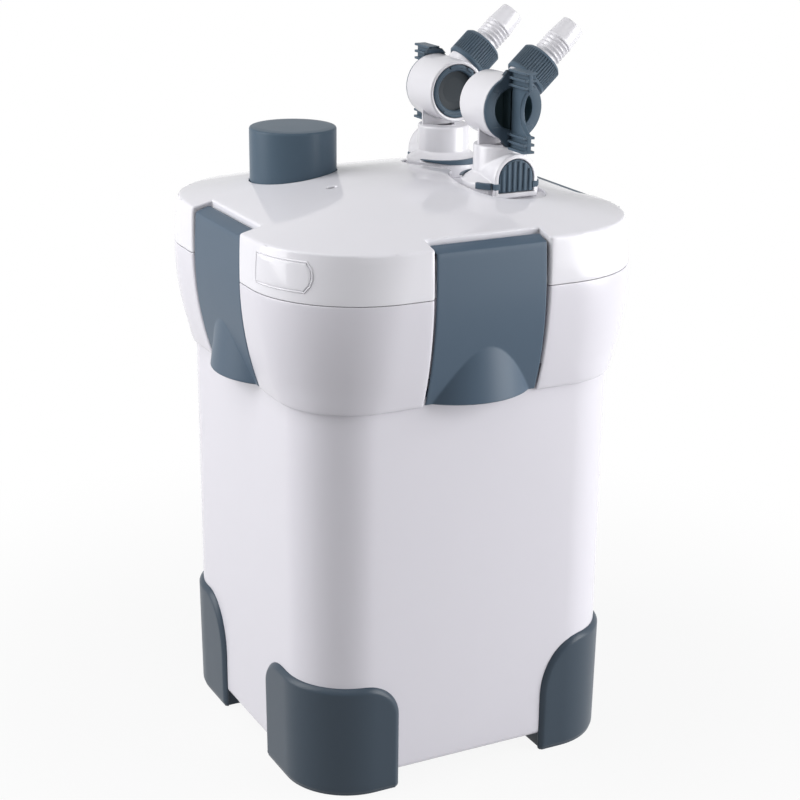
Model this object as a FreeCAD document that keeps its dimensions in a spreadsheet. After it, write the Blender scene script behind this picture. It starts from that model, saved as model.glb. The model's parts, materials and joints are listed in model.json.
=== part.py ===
"""A four-sided external canister filter, with four side clips, a priming button,
two quick-release taps and a stack of media baskets. Millimetres, +Z up.
The origin is at the middle of the footprint, on the surface that the feet stand on.
The front is the -Y side, and the left side is -X."""

import FreeCAD
import Part
import Sketcher

import math
import os

Vector = FreeCAD.Vector
Rotation = FreeCAD.Rotation

SIZES = {
    # Canister
    "can_half_low": 122.0,
    "can_half_top": 123.0,
    "can_round_low": 45.6,
    "can_round_top": 47.5,
    "can_low": 13.0,
    "can_wall": 3.5,
    "can_floor": 4.0,
    "can_edge": 4.0,
    "rim_low": 296.0,
    "rim_top": 302.0,
    "rim_proud": 3.3,
    # Feet
    "foot_wall": 2.5,
    "foot_tall": 88.0,
    "foot_along_x": 66.8,
    "foot_along_y": 85.1,
    "foot_shoulder": 30.0,
    "foot_edge": 1.6,
    # Head, the side that bulges and the crowned top
    "head_low": 283.0,
    "seam": 356.5,
    "seam_gap": 0.4,
    "edge_level": 393.3,
    "bulge_level": 362.44,
    "bulge_arc": 232.75,
    "bulge_inset": 92.75,
    "widest": 140.0,
    "cover_mid": 139.8,
    "cover_top": 139.2,
    "crown_rise": 21.0,
    "top_edge": 2.6,
    "wall": 3.0,
    "round_a": 52.5,
    "round_b": 62.5,
    "round_c": 67.8,
    "round_d": 71.7,
    "round_e": 75.7,
    "round_f": 79.0,
    "round_g": 82.0,
    "skirt_gap": 0.3,
    "deck_low": 305.0,
    "deck_thick": 4.0,
    # Side clips and their pins
    "clip_half": 42.5,
    "clip_gap": 0.5,
    "clip_thick": 3.0,
    "clip_low": 284.6,
    "clip_edge_out": 137.0,
    "clip_edge_level": 390.6,
    "pivot_out": 127.5,
    "pivot_level": 390.5,
    "knuckle": 3.1,
    "pin": 1.2,
    "pin_fit": 0.06,
    "hook_in": 124.0,
    "hook_low": 290.5,
    "hook_top": 295.6,
    "hook_inner": 33.5,
    "scoop_half": 35.0,
    "scoop_deep": 15.5,
    "scoop_tall": 42.0,
    "scoop_wall": 2.5,
    # Priming button
    "button_x": -56.0,
    "button_y": 56.0,
    "button": 31.4,
    "button_top": 442.6,
    "button_low": 370.0,
    "button_gap": 0.5,
    "button_travel": 25.0,
    "primer_low": 322.0,
    # Taps
    "tap_x": 59.0,
    "tap_y": 42.0,
    "well": 38.5,
    "well_floor": 402.5,
    "collar": 27.5,
    "collar_top": 416.0,
    "tower": 19.7,
    "tower_top": 435.0,
    "barrel": 21.5,
    "barrel_level": 464.5,
    "barrel_inner": 24.0,
    "barrel_outer": 51.5,
    "plug": 16.7,
    "knob_back": 52.0,
    "knob_face": 59.0,
    "wing_tall": 27.7,
    "wing_waist": 71.0,
    "wing_tip": 81.0,
    "wing_thick": 3.8,
    "cup": 13.5,
    "lean": 42.5,
    "stub": 13.2,
    "stub_end": 32.5,
    "nut": 17.3,
    "nut_near": 23.0,
    "nut_far": 44.5,
    "barb_end": 76.0,
    "barb_tip": 10.0,
    "barb_wide": 11.1,
    "barb_bore": 7.6,
    "tab_half": 13.3,
    "tab_face": 70.0,
    "tab_bow": 420.0,
    "latch_low": 409.5,
    "latch_thick": 3.0,
    "latch_travel": 3.0,
    "spigot": 13.3,
    "port": 14.0,
    # Pump, lamp and pipes in the head
    "pump_x": -40.0,
    "pump_y": -64.0,
    "volute": 32.0,
    "volute_low": 281.0,
    "lamp_x": -57.0,
    "lamp_y": -3.0,
    "sleeve": 12.0,
    "pipe": 11.0,
    # Media baskets
    "basket_half": 115.0,
    "basket_round": 40.0,
    "basket_low": 25.0,
    "basket_tall": 50.0,
    "basket_pitch": 52.0,
    "basket_wall": 2.0,
}

doc = FreeCAD.newDocument("canister_filter")
sheet = doc.addObject("Spreadsheet::Sheet", "sheet")
for row, (alias, number) in enumerate(SIZES.items(), start=1):
    sheet.set(f"A{row}", alias)
    sheet.set(f"B{row}", str(number))
    sheet.setAlias(f"B{row}", alias)
doc.recompute()


class Size:
    """A length with its number and the sheet formula that it comes from."""

    def __init__(self, number, formula):
        self.number = float(number)
        self.formula = formula

    def _with(self, sign, other, number):
        return Size(number, f"({self.formula} {sign} {size(other).formula})")

    def __add__(self, other):
        return self._with("+", other, self.number + size(other).number)

    def __sub__(self, other):
        return self._with("-", other, self.number - size(other).number)

    def __mul__(self, other):
        return self._with("*", other, self.number * size(other).number)

    def __truediv__(self, other):
        return self._with("/", other, self.number / size(other).number)

    def __radd__(self, other):
        return size(other) + self

    def __rsub__(self, other):
        return size(other) - self

    def __rmul__(self, other):
        return size(other) * self

    def __neg__(self):
        return Size(-self.number, f"(0 - {self.formula})")


def size(value):
    """A plain number or a Size, as a Size."""
    return value if isinstance(value, Size) else Size(value, f"{float(value):.6f}")


def root(value):
    """The square root of a Size."""
    return Size(math.sqrt(value.number), f"sqrt({value.formula})")


class Sheet:
    """The driving dimensions by name: S.widest is the cell called widest."""

    def __getattr__(self, alias):
        return Size(SIZES[alias], f"sheet.{alias}")


S = Sheet()
UP = Vector(0, 0, 1)
TURNS = {"x": Vector(1, 0, 0), "y": Vector(0, 1, 0), "z": UP, "-y": Vector(0, -1, 0)}


def bind(thing, name, value):
    """Sets a property to a Size and ties it to the sheet."""
    value = size(value)
    setattr(thing, name, value.number)
    if "sheet." in value.formula:
        thing.setExpression(name, value.formula)


def place(thing, at, axis="z"):
    """Puts a thing at a point, with its own +Z turned to an axis."""
    direction = TURNS[axis] if isinstance(axis, str) else axis
    point = [size(c) for c in at]
    spot = Vector(*[c.number for c in point])
    thing.Placement = FreeCAD.Placement(spot, Rotation(UP, direction))
    for letter, c in zip("xyz", point):
        if "sheet." in c.formula:
            thing.setExpression(f"Placement.Base.{letter}", c.formula)
    return thing


def cylinder(name, radius, length, at, axis="z"):
    """A round bar that starts at a point and runs along an axis."""
    bar = doc.addObject("Part::Cylinder", name)
    bind(bar, "Radius", radius)
    bind(bar, "Height", length)
    return place(bar, at, axis)


def cone(name, first, last, length, at, axis="z"):
    """A cone from a first radius to a last one."""
    shape = doc.addObject("Part::Cone", name)
    bind(shape, "Radius1", first)
    bind(shape, "Radius2", last)
    bind(shape, "Height", length)
    return place(shape, at, axis)


def torus(name, ring, wire, at, axis="z"):
    """A ring of round wire."""
    shape = doc.addObject("Part::Torus", name)
    bind(shape, "Radius1", ring)
    bind(shape, "Radius2", wire)
    return place(shape, at, axis)


def ellipsoid(name, half_x, half_y, half_z, at):
    """An ellipsoid, whole, with its half sizes along the three axes."""
    shape = doc.addObject("Part::Ellipsoid", name)
    bind(shape, "Radius1", half_z)
    bind(shape, "Radius2", half_x)
    bind(shape, "Radius3", half_y)
    shape.Angle1, shape.Angle2, shape.Angle3 = -90, 90, 360
    return place(shape, at)


def box(name, across, along, tall):
    """A box from three pairs of lowest and highest places in X, Y and Z."""
    block = doc.addObject("Part::Box", name)
    for prop, (low, high) in zip(("Length", "Width", "Height"), (across, along, tall)):
        bind(block, prop, size(high) - low)
    return place(block, (across[0], along[0], tall[0]))


def joined(name, *things):
    """One solid made of several that touch or overlap."""
    whole = doc.addObject("Part::MultiFuse", name)
    whole.Shapes = list(things)
    return whole


def cut(name, base, *tools):
    """A base less its tools."""
    left = doc.addObject("Part::Cut", name)
    left.Base = base
    left.Tool = tools[0] if len(tools) == 1 else group(f"{name}_tools", *tools)
    return left


def common(name, first, second):
    """What two solids share."""
    shared = doc.addObject("Part::Common", name)
    shared.Base = first
    shared.Tool = second
    return shared


def group(name, *things):
    """Several separate solids as one object."""
    held = doc.addObject("Part::Compound", name)
    held.Links = list(things)
    return held


def turned(name, thing, quarter):
    """A copy turned about the filter's own axis by quarter turns."""
    copy = group(name, thing)
    copy.Placement = FreeCAD.Placement(Vector(), Rotation(UP, 90 * quarter))
    return copy


def all_round(name, thing):
    """The same thing on each of the four sides."""
    return group(name, *[turned(f"{name}_{q}", thing, q) for q in range(4)])


def mirrored(name, thing, normal):
    """A copy on the other side of the middle plane with that normal."""
    copy = doc.addObject("Part::Mirroring", name)
    copy.Source = thing
    copy.Normal = normal
    return copy


def eased(name, base, radius, wanted, chamfer=False):
    """The base with a fillet, or a chamfer, on the edges that wanted picks."""
    doc.recompute()
    kind = "Part::Chamfer" if chamfer else "Part::Fillet"
    shape = doc.addObject(kind, name)
    shape.Base = base
    width = size(radius).number
    edges = enumerate(base.Shape.Edges, start=1)
    shape.Edges = [(n, width, width) for n, edge in edges if wanted(edge.BoundBox)]
    return shape


def at_level(level):
    """Picks edges that lie flat at one height."""
    z = size(level).number
    return lambda b: abs(b.ZMin - z) < 0.01 and abs(b.ZMax - z) < 0.01


def sketch(name, at=(0, 0, 0), turn=None):
    """An empty sketch, in the XY plane unless it is turned."""
    made = doc.addObject("Sketcher::SketchObject", name)
    place(made, at)
    if turn is not None:
        made.Placement = FreeCAD.Placement(made.Placement.Base, turn)
    return made


def name_last(made, constraint, label, value):
    """Adds a dimension to a sketch and ties it to the sheet."""
    index = made.addConstraint(constraint)
    made.renameConstraint(index, label)
    if "sheet." in value.formula:
        made.setExpression(f"Constraints.{label}", value.formula)


def rounded_square(name, half, corner, level):
    """A closed sketch of a square with round corners, centred on the filter's axis."""
    half, corner = size(half), size(corner)
    made = sketch(name, (0, 0, level))
    h, r = half.number, corner.number
    c = h - r
    ends = [(h, -c, h, c), (c, h, -c, h), (-h, c, -h, -c), (-c, -h, c, -h)]
    lines, arcs = [], []
    for x1, y1, x2, y2 in ends:
        line = Part.LineSegment(Vector(x1, y1, 0), Vector(x2, y2, 0))
        lines.append(made.addGeometry(line, False))
    for k, (sx, sy) in enumerate(((1, 1), (-1, 1), (-1, -1), (1, -1))):
        circle = Part.Circle(Vector(sx * c, sy * c, 0), UP, r)
        start = math.radians(90 * k)
        arc = Part.ArcOfCircle(circle, start, start + math.pi / 2)
        arcs.append(made.addGeometry(arc, False))
    rules = []
    for k in range(4):
        rules.append(Sketcher.Constraint("Tangent", lines[k], 2, arcs[k], 1))
        rules.append(Sketcher.Constraint("Tangent", arcs[k], 2, lines[(k + 1) % 4], 1))
    for k in (1, 2, 3):
        rules.append(Sketcher.Constraint("Equal", arcs[0], arcs[k]))
    rules.append(Sketcher.Constraint("Vertical", lines[2]))
    rules.append(Sketcher.Constraint("Horizontal", lines[3]))
    rules.append(Sketcher.Constraint("Symmetric", lines[0], 1, lines[0], 2, -1))
    rules.append(Sketcher.Constraint("Symmetric", lines[1], 1, lines[1], 2, -2))
    made.addConstraint(rules)
    name_last(made, Sketcher.Constraint("Radius", arcs[0], r), "corner", corner)
    across = Sketcher.Constraint("DistanceX", -1, 1, lines[0], 1, h)
    name_last(made, across, "half_x", half)
    along = Sketcher.Constraint("DistanceY", -1, 1, lines[1], 1, h)
    name_last(made, along, "half_y", half)
    return made


def square_loft(name, sections, ruled=False):
    """A solid through rounded squares, each (half, corner radius, level)."""
    shape = doc.addObject("Part::Loft", name)
    rows = enumerate(sections)
    shape.Sections = [rounded_square(f"{name}_{n}", *row) for n, row in rows]
    shape.Solid = True
    shape.Ruled = ruled
    return shape


def square_prism(name, half, corner, low, high):
    """An upright block whose outline is a rounded square."""
    block = doc.addObject("Part::Extrusion", name)
    block.Base = rounded_square(f"{name}_outline", half, corner, low)
    block.DirMode = "Custom"
    block.Dir = UP
    block.Solid = True
    bind(block, "LengthFwd", size(high) - low)
    return block


def outline(name, points, at, turn):
    """A closed sketch of straight sides. A point is a pair of Sizes, right and up."""
    made = sketch(name, at, turn)
    pairs = [(size(a), size(b)) for a, b in points]
    flat = [Vector(a.number, b.number, 0) for a, b in pairs]
    count = len(flat)
    for k in range(count):
        made.addGeometry(Part.LineSegment(flat[k], flat[(k + 1) % count]), False)
    for k in range(count):
        made.addConstraint(Sketcher.Constraint("Coincident", k, 2, (k + 1) % count, 1))
    for k, (a, b) in enumerate(pairs):
        for kind, value, line in (("DistanceX", a, -2), ("DistanceY", b, -1)):
            if abs(value.number) < 1e-9:
                made.addConstraint(Sketcher.Constraint("PointOnObject", k, 1, line))
            else:
                rule = Sketcher.Constraint(kind, -1, 1, k, 1, value.number)
                name_last(made, rule, f"{kind[-1]}_{k}", value)
    return made


SIDE_ON = Rotation(Vector(0, 0, 1), 90) * Rotation(Vector(1, 0, 0), 90)
FACE_ON = Rotation(Vector(1, 0, 0), 90)


def revolved(name, points, at=(0, 0, 0), axis="z"):
    """A turned solid. A point is (radius, height along the axis)."""
    direction = TURNS[axis] if isinstance(axis, str) else axis
    turn = Rotation(UP, direction) * FACE_ON
    shape = doc.addObject("Part::Revolution", name)
    shape.Source = outline(f"{name}_profile", points, at, turn)
    shape.Axis = direction
    shape.Base = Vector(*[size(c).number for c in at])
    for letter, c in zip("xyz", at):
        if "sheet." in size(c).formula:
            shape.setExpression(f"Base.{letter}", size(c).formula)
    shape.Angle = 360
    shape.Solid = True
    return shape


def across_x(name, points, half):
    """A bar along X with a side-on profile. A point is (y, z)."""
    bar = doc.addObject("Part::Extrusion", name)
    bar.Base = outline(f"{name}_profile", points, (0, 0, 0), SIDE_ON)
    bar.DirMode = "Custom"
    bar.Dir = Vector(1, 0, 0)
    bar.Solid = True
    bar.Symmetric = True
    bind(bar, "LengthFwd", size(half) * 2)
    return bar


def along_y(name, points, near, far, x=0):
    """A bar along Y with a face-on profile. A point is (x, z), from a given x."""
    bar = doc.addObject("Part::Extrusion", name)
    bar.Base = outline(f"{name}_profile", points, (x, near, 0), FACE_ON)
    bar.DirMode = "Custom"
    bar.Dir = Vector(0, 1, 0)
    bar.Solid = True
    bind(bar, "LengthFwd", size(far) - near)
    return bar


NODES = {}


def node(name, thing):
    """Keeps a finished piece under the name of its file."""
    thing.Label = name
    NODES[name] = thing
    return thing


def at_corners(name, reach, radius, low, high):
    """Four equal round posts, one in each corner."""
    spots = [(x, y) for x in (-reach, reach) for y in (-reach, reach)]
    tall = size(high) - low
    return [cylinder(f"{name}_{n}", radius, tall, (x, y, low)) for n, (x, y) in enumerate(spots)]


def canister():
    """The tub: tapered walls, an inner hollow and a rim flange for the clips."""
    outer = square_loft(
        "tub_outer",
        [
            (S.can_half_low, S.can_round_low, S.can_low),
            (S.can_half_top, S.can_round_top, S.rim_top),
        ],
    )
    outer = eased("tub_eased", outer, S.can_edge, at_level(S.can_low))
    inner = square_loft(
        "tub_inner",
        [
            (
                S.can_half_low - S.can_wall,
                S.can_round_low - S.can_wall,
                S.can_low + S.can_floor,
            ),
            (
                S.can_half_top - S.can_wall,
                S.can_round_top - S.can_wall,
                S.rim_top + 1,
            ),
        ],
    )
    rim = square_prism(
        "tub_rim",
        S.can_half_top + S.rim_proud,
        S.can_round_top + S.rim_proud,
        S.rim_low,
        S.rim_top,
    )
    posts = at_corners("tub_post", 101.5, 5, S.can_low + S.can_floor - 1, S.basket_low - 2)
    hollow = cut("tub_hollow", inner, *posts)
    node("canister", cut("tub", joined("tub_body", outer, rim), hollow))
    return outer


def feet(tub_outer):
    """Corner guards that wrap the tub's corners and carry it off the floor."""
    guard = square_prism(
        "guard_outer",
        S.can_half_low + S.foot_wall,
        S.can_round_low + S.foot_wall,
        0,
        S.foot_tall,
    )
    reach = S.can_half_low + S.foot_wall + 1
    x_end = S.foot_along_x - S.can_half_low - S.foot_wall
    y_end = S.foot_along_y - S.can_half_low - S.foot_wall
    quarter = box("guard_quarter", (-reach, x_end), (-reach, y_end), (-1, 100))
    blank = common("guard_blank", guard, quarter)

    def shoulder(name, end):
        """Cuts the square top end of an arm to a round shoulder."""
        low = S.foot_tall - S.foot_shoulder
        block = box(
            f"{name}_block",
            (end - S.foot_shoulder, end + 1),
            (-reach - 1, reach),
            (low, S.foot_tall + 1),
        )
        rounding = cylinder(
            f"{name}_rounding",
            S.foot_shoulder,
            reach * 2 + 2,
            (end - S.foot_shoulder, -reach - 1, low),
            "y",
        )
        return cut(name, block, rounding)

    x_cut = shoulder("shoulder_x", x_end)
    y_cut = shoulder("shoulder_y", y_end)
    y_turned = mirrored("shoulder_y_turned", y_cut, Vector(1, -1, 0))
    foot = cut("foot_raw", blank, tub_outer, x_cut, y_turned)
    node("foot_front_left", foot)
    right = node("foot_front_right", mirrored("foot_fr", foot, Vector(1, 0, 0)))
    node("foot_rear_left", mirrored("foot_rl", foot, Vector(0, 1, 0)))
    node("foot_rear_right", mirrored("foot_rr", right, Vector(0, 1, 0)))


def bulge(level):
    """The head's half width at a level below its widest line."""
    rise = size(level) - S.bulge_level
    return root(S.bulge_arc * S.bulge_arc - rise * rise) - S.bulge_inset


def head_side(inset=0.0):
    """The sections of the head's side, drawn in by an inset."""
    mid = (S.seam + S.edge_level) / 2
    rows = [
        (bulge(S.head_low), S.round_a, S.head_low),
        (bulge(300), S.round_b, 300),
        (bulge(320), S.round_c, 320),
        (bulge(340), S.round_d, 340),
        (S.widest, S.round_e, S.bulge_level),
        (S.cover_mid, S.round_f, mid + 3),
        (S.cover_top, S.round_g, S.edge_level),
    ]
    return [(half - inset, corner - inset, level) for half, corner, level in rows]


CROWN_POWER = 1.7
CROWN_SHARES = (1.0, 0.9, 0.75, 0.55, 0.3, 0.1)


def crown(inset=0.0):
    """The sections of the crowned top, from its edge to its middle."""
    rows = []
    for share in CROWN_SHARES:
        level = S.edge_level - inset + S.crown_rise * (1 - share**CROWN_POWER)
        half = (S.cover_top - inset) * share
        rows.append((half, (S.round_g - inset) * share, level))
    return rows


def clip_blank():
    """The clip of the front side: plate, knuckle, two hooks and a finger scoop."""
    side = square_loft("clip_side", head_side())
    inside = square_loft("clip_inside", head_side(S.clip_thick))
    zone = box(
        "clip_zone",
        (-S.clip_half, S.clip_half),
        (-S.widest - 1, -S.pivot_out),
        (S.clip_low, S.clip_edge_level),
    )
    plate = cut("clip_plate", common("clip_face", side, zone), inside)
    ledge = across_x(
        "clip_ledge",
        [
            (-S.clip_edge_out, S.clip_edge_level - S.clip_thick - 2),
            (-S.clip_edge_out, S.clip_edge_level),
            (-S.pivot_out - 1, S.pivot_level + S.knuckle),
            (-S.pivot_out, S.pivot_level + S.knuckle),
            (-S.pivot_out, S.pivot_level - S.knuckle),
            (-S.pivot_out - 3.5, S.pivot_level - S.knuckle),
        ],
        S.clip_half,
    )
    knuckle = cylinder(
        "clip_knuckle",
        S.knuckle,
        S.clip_half * 2,
        (-S.clip_half, -S.pivot_out, S.pivot_level),
        "x",
    )
    hooks = [
        box(
            f"clip_hook_{n}",
            (low, high),
            (-S.hook_in - 3.2, -S.hook_in),
            (S.hook_low, S.hook_top),
        )
        for n, (low, high) in enumerate(
            ((-S.clip_half + 0.6, -S.hook_inner), (S.hook_inner, S.clip_half - 0.6))
        )
    ]
    spot = (0, -bulge(S.head_low), S.head_low)
    scoop = ellipsoid(
        "scoop_outer", S.scoop_half, S.scoop_deep, S.scoop_tall, spot
    )
    below = box("scoop_below", (-60, 60), (-160, -100), (200, S.clip_low))
    scoop = cut("scoop_half_shape", scoop, below, inside)
    finger = ellipsoid(
        "scoop_inner",
        S.scoop_half - S.scoop_wall,
        S.scoop_deep - S.scoop_wall,
        S.scoop_tall - S.scoop_wall * 3,
        spot,
    )
    solid = joined("clip_solid", plate, ledge, knuckle, *hooks, scoop)
    bore = cylinder(
        "clip_bore",
        S.pin + S.pin_fit,
        S.clip_half * 2 + 2,
        (-S.clip_half - 1, -S.pivot_out, S.pivot_level),
        "x",
    )
    return cut("clip_front_raw", solid, finger, bore)


def clips():
    """Four equal clips, one on each side, and their hinge pins."""
    front = node("clip_front", clip_blank())
    for quarter, name in ((1, "clip_right"), (2, "clip_rear"), (3, "clip_left")):
        node(name, turned(f"{name}_turned", front, quarter))
    pin = cylinder(
        "pin_front",
        S.pin,
        S.clip_half * 2 + 6,
        (-S.clip_half - 3, -S.pivot_out, S.pivot_level),
        "x",
    )
    node("clip_pins", all_round("pins", pin))


def clip_channel(name, spare, wall=0.0):
    """The room for one clip, front side, widened by spare and by a wall."""
    half = S.clip_half + spare + wall
    inner = S.pivot_out - S.knuckle - spare - wall
    deep = [
        (-S.widest - 20, 270),
        (-S.widest - 20, S.edge_level + 40),
        (-inner, S.edge_level + 40),
        (-inner, S.pivot_level - S.knuckle - spare - wall),
        (-S.pivot_out - 4 + spare + wall, S.pivot_level - S.knuckle - 3 - wall),
        (-S.widest + S.clip_thick + spare + wall, 365),
        (-S.widest + S.clip_thick + spare + wall + 0.6, 350),
        (-bulge(320) + S.clip_thick + spare + wall, 320),
        (-bulge(303) + S.clip_thick + spare + wall, 304),
        (-S.hook_in + 2, 304),
        (-S.hook_in + 2, 270),
    ]
    return across_x(name, deep, half)


def head():
    """The head's cover and bowl, with channels for the clips and wells for the taps."""
    side = square_loft("head_side", head_side())
    top = square_loft("head_top", crown())
    body = joined("head_body", side, top)
    body = eased("head_eased", body, S.top_edge, at_level(S.edge_level))
    side_in = square_loft("head_side_in", head_side(S.wall))
    under = box("head_side_in_zone", (-200, 200), (-200, 200), (200, S.edge_level - S.wall))
    side_in = common("head_side_in_low", side_in, under)
    top_in = square_loft("head_top_in", crown(S.wall))
    hollow = joined("head_hollow", side_in, top_in)
    pockets = all_round("pockets", clip_channel("pocket", S.clip_gap, S.wall))
    channels = all_round("channels", clip_channel("channel", S.clip_gap))
    cover_zone = box("cover_zone", (-200, 200), (-200, 200), (S.seam + S.seam_gap / 2, 500))
    bowl_zone = box("bowl_zone", (-200, 200), (-200, 200), (S.head_low, S.seam - S.seam_gap / 2))
    cover(body, hollow, pockets, channels, cover_zone)
    bowl(body, hollow, pockets, channels, bowl_zone)


def at_taps(maker):
    """Makes a thing at the front tap and at the rear one."""
    return [maker("front", -S.tap_y), maker("rear", S.tap_y)]


def cover(body, hollow, pockets, channels, zone):
    """The top cover, with tap wells, the button's guide and four screw posts."""
    cups = at_taps(
        lambda side, y: cylinder(
            f"cup_{side}", S.well + S.wall, 30, (S.tap_x, y, S.well_floor - S.wall)
        )
    )
    guide = cylinder(
        "button_guide",
        S.button + S.button_gap + 2.5,
        40,
        (S.button_x, S.button_y, 388),
    )
    void = cut("cover_void", hollow, pockets, guide, *cups)
    shell = cut("cover_shell", common("cover_block", body, zone), void)
    spots = [(x, y) for x in (-88, 88) for y in (-88, 88)]
    posts = [
        cylinder(f"post_{n}", 5, 110, (x, y, S.deck_low + S.deck_thick))
        for n, (x, y) in enumerate(spots)
    ]
    posts = common("posts_trimmed", group("posts", *posts), body)
    wells = at_taps(
        lambda side, y: cylinder(f"well_{side}", S.well, 40, (S.tap_x, y, S.well_floor))
    )
    ports = at_taps(
        lambda side, y: cylinder(
            f"well_port_{side}", S.port + 0.4, 30, (S.tap_x, y, S.well_floor - 20)
        )
    )
    hole = cylinder(
        "button_hole",
        S.button + S.button_gap,
        90,
        (S.button_x, S.button_y, 360),
    )
    sight = box(
        "sight_hole",
        (S.lamp_x - 3.6, S.lamp_x + 3.6),
        (S.lamp_y - 1.9, S.lamp_y + 1.9),
        (395, 430),
    )
    bores = [
        cylinder(f"post_bore_{n}", 1.75, 14, (x, y, S.deck_low + S.deck_thick))
        for n, (x, y) in enumerate(spots)
    ]
    pins = all_round(
        "cover_pin_holes",
        cylinder(
            "cover_pin_hole",
            S.pin,
            S.clip_half * 2 + 6.4,
            (-S.clip_half - 3.2, -S.pivot_out, S.pivot_level),
            "x",
        ),
    )
    solid = joined("cover_solid", shell, posts)
    node(
        "head_cover",
        cut("cover_cut", solid, channels, hole, sight, pins, *wells, *ports, *bores),
    )
    screw_spots = enumerate(spots)
    screws = [
        revolved(
            f"screw_{n}",
            [(0, 0), (3.5, 0), (3.5, 2.5), (1.7, 2.5), (1.7, 15), (0, 15)],
            (x, y, S.deck_low - 2.5),
        )
        for n, (x, y) in screw_spots
    ]
    node("head_screws", group("screws", *screws))


def bowl(body, hollow, pockets, channels, zone):
    """The lower head: a skirt over the canister's rim, a deck and two port tubes."""
    deck_top = S.deck_low + S.deck_thick
    above = box("bowl_above", (-200, 200), (-200, 200), (deck_top, 500))
    room = cut("bowl_room", common("bowl_hollow", hollow, above), pockets)
    lip = square_prism(
        "bowl_lip_room",
        S.can_half_top + S.skirt_gap,
        S.can_round_top + S.skirt_gap,
        S.head_low - 1,
        S.rim_low - 0.8,
    )
    rim = square_prism(
        "bowl_rim_room",
        S.can_half_top + S.rim_proud + 0.4,
        S.can_round_top + S.rim_proud + 0.4,
        S.rim_low - 0.8,
        S.deck_low,
    )
    block = common("bowl_block", body, zone)
    shell = cut("bowl_shell", block, room, lip, rim, channels)
    tubes = at_taps(
        lambda side, y: cylinder(
            f"tube_{side}", S.port + 3, S.well_floor - S.wall - 0.4 - deck_top,
            (S.tap_x, y, deck_top),
        )
    )
    ports = at_taps(
        lambda side, y: cylinder(
            f"tube_port_{side}", S.port, 120, (S.tap_x, y, S.deck_low - 1)
        )
    )
    rotor = cylinder("rotor_hole", 12.5, 20, (S.pump_x, S.pump_y, 300))
    lamp = cylinder("lamp_hole", S.sleeve + 0.3, 20, (S.lamp_x, S.lamp_y, 300))
    holes = [
        cylinder(f"deck_screw_hole_{n}", 2.0, 20, (x, y, 300))
        for n, (x, y) in enumerate([(x, y) for x in (-88, 88) for y in (-88, 88)])
    ]
    diagonal = Vector(1, 1, 0)
    gland = cylinder("gland_hole", 6.1, 40, (100, 100, 335), diagonal)
    seat = cylinder("gland_seat", 9.1, 20, (116.7, 116.7, 335), diagonal)
    neck = cylinder("neck_hole", 4, 20, (S.button_x, S.button_y, 300))
    solid = joined("bowl_solid", shell, *tubes)
    holes += [rotor, lamp, gland, seat, neck]
    node("head_bowl", cut("bowl_cut", solid, *ports, *holes))
    gasket = square_prism(
        "gasket_outer",
        S.can_half_top + S.rim_proud,
        S.can_round_top + S.rim_proud,
        S.rim_top,
        S.deck_low,
    )
    inner = square_prism(
        "gasket_inner",
        S.can_half_top - S.can_wall,
        S.can_round_top - S.can_wall,
        S.rim_top - 1,
        S.deck_low + 1,
    )
    node("head_gasket", cut("gasket", gasket, inner))
    body_gland = revolved(
        "gland",
        [(3.6, 0), (6, 0), (6, 9), (9, 9), (9, 13), (7, 13), (5.4, 24), (3.6, 24)],
        (110.336, 110.336, 335),
        diagonal,
    )
    node("cord_gland", body_gland)


def primer():
    """The priming pump: a sprung button, its seal and its cylinder."""
    spot = (S.button_x, S.button_y)
    cap = revolved(
        "button_cap",
        [
            (S.button - 2.8, S.button_low),
            (S.button - 1.2, S.button_low),
            (S.button - 1.2, S.button_low + 3.4),
            (S.button, S.button_low + 3.4),
            (S.button, S.button_top),
            (0, S.button_top),
            (0, S.button_top - 3),
            (S.button - 2.8, S.button_top - 3),
        ],
        (*spot, 0),
    )
    cap = eased("button_eased", cap, 2.4, at_level(S.button_top))
    node("primer_button", cap)
    seal = torus("seal", S.button - 0.1, 1.0, (*spot, S.button_low + 1.7))
    node("primer_seal", cut("seal_ring", seal, cylinder(
        "seal_seat", S.button - 1.2, 10, (*spot, S.button_low - 2)
    )))
    node(
        "primer_cylinder",
        revolved(
            "primer_tube",
            [
                (4, S.deck_low + S.deck_thick),
                (8, S.deck_low + S.deck_thick),
                (8, S.primer_low),
                (S.button + 3.6, S.primer_low),
                (S.button + 3.6, 388),
                (S.button + 1.2, 388),
                (S.button + 1.2, S.primer_low + 3),
                (4, S.primer_low + 3),
            ],
            (*spot, 0),
        ),
    )
    node(
        "primer_spring",
        revolved(
            "spring_tube",
            [
                (12.5, S.primer_low + 3),
                (14, S.primer_low + 3),
                (14, S.button_top - 3),
                (12.5, S.button_top - 3),
            ],
            (*spot, 0),
        ),
    )


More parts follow.
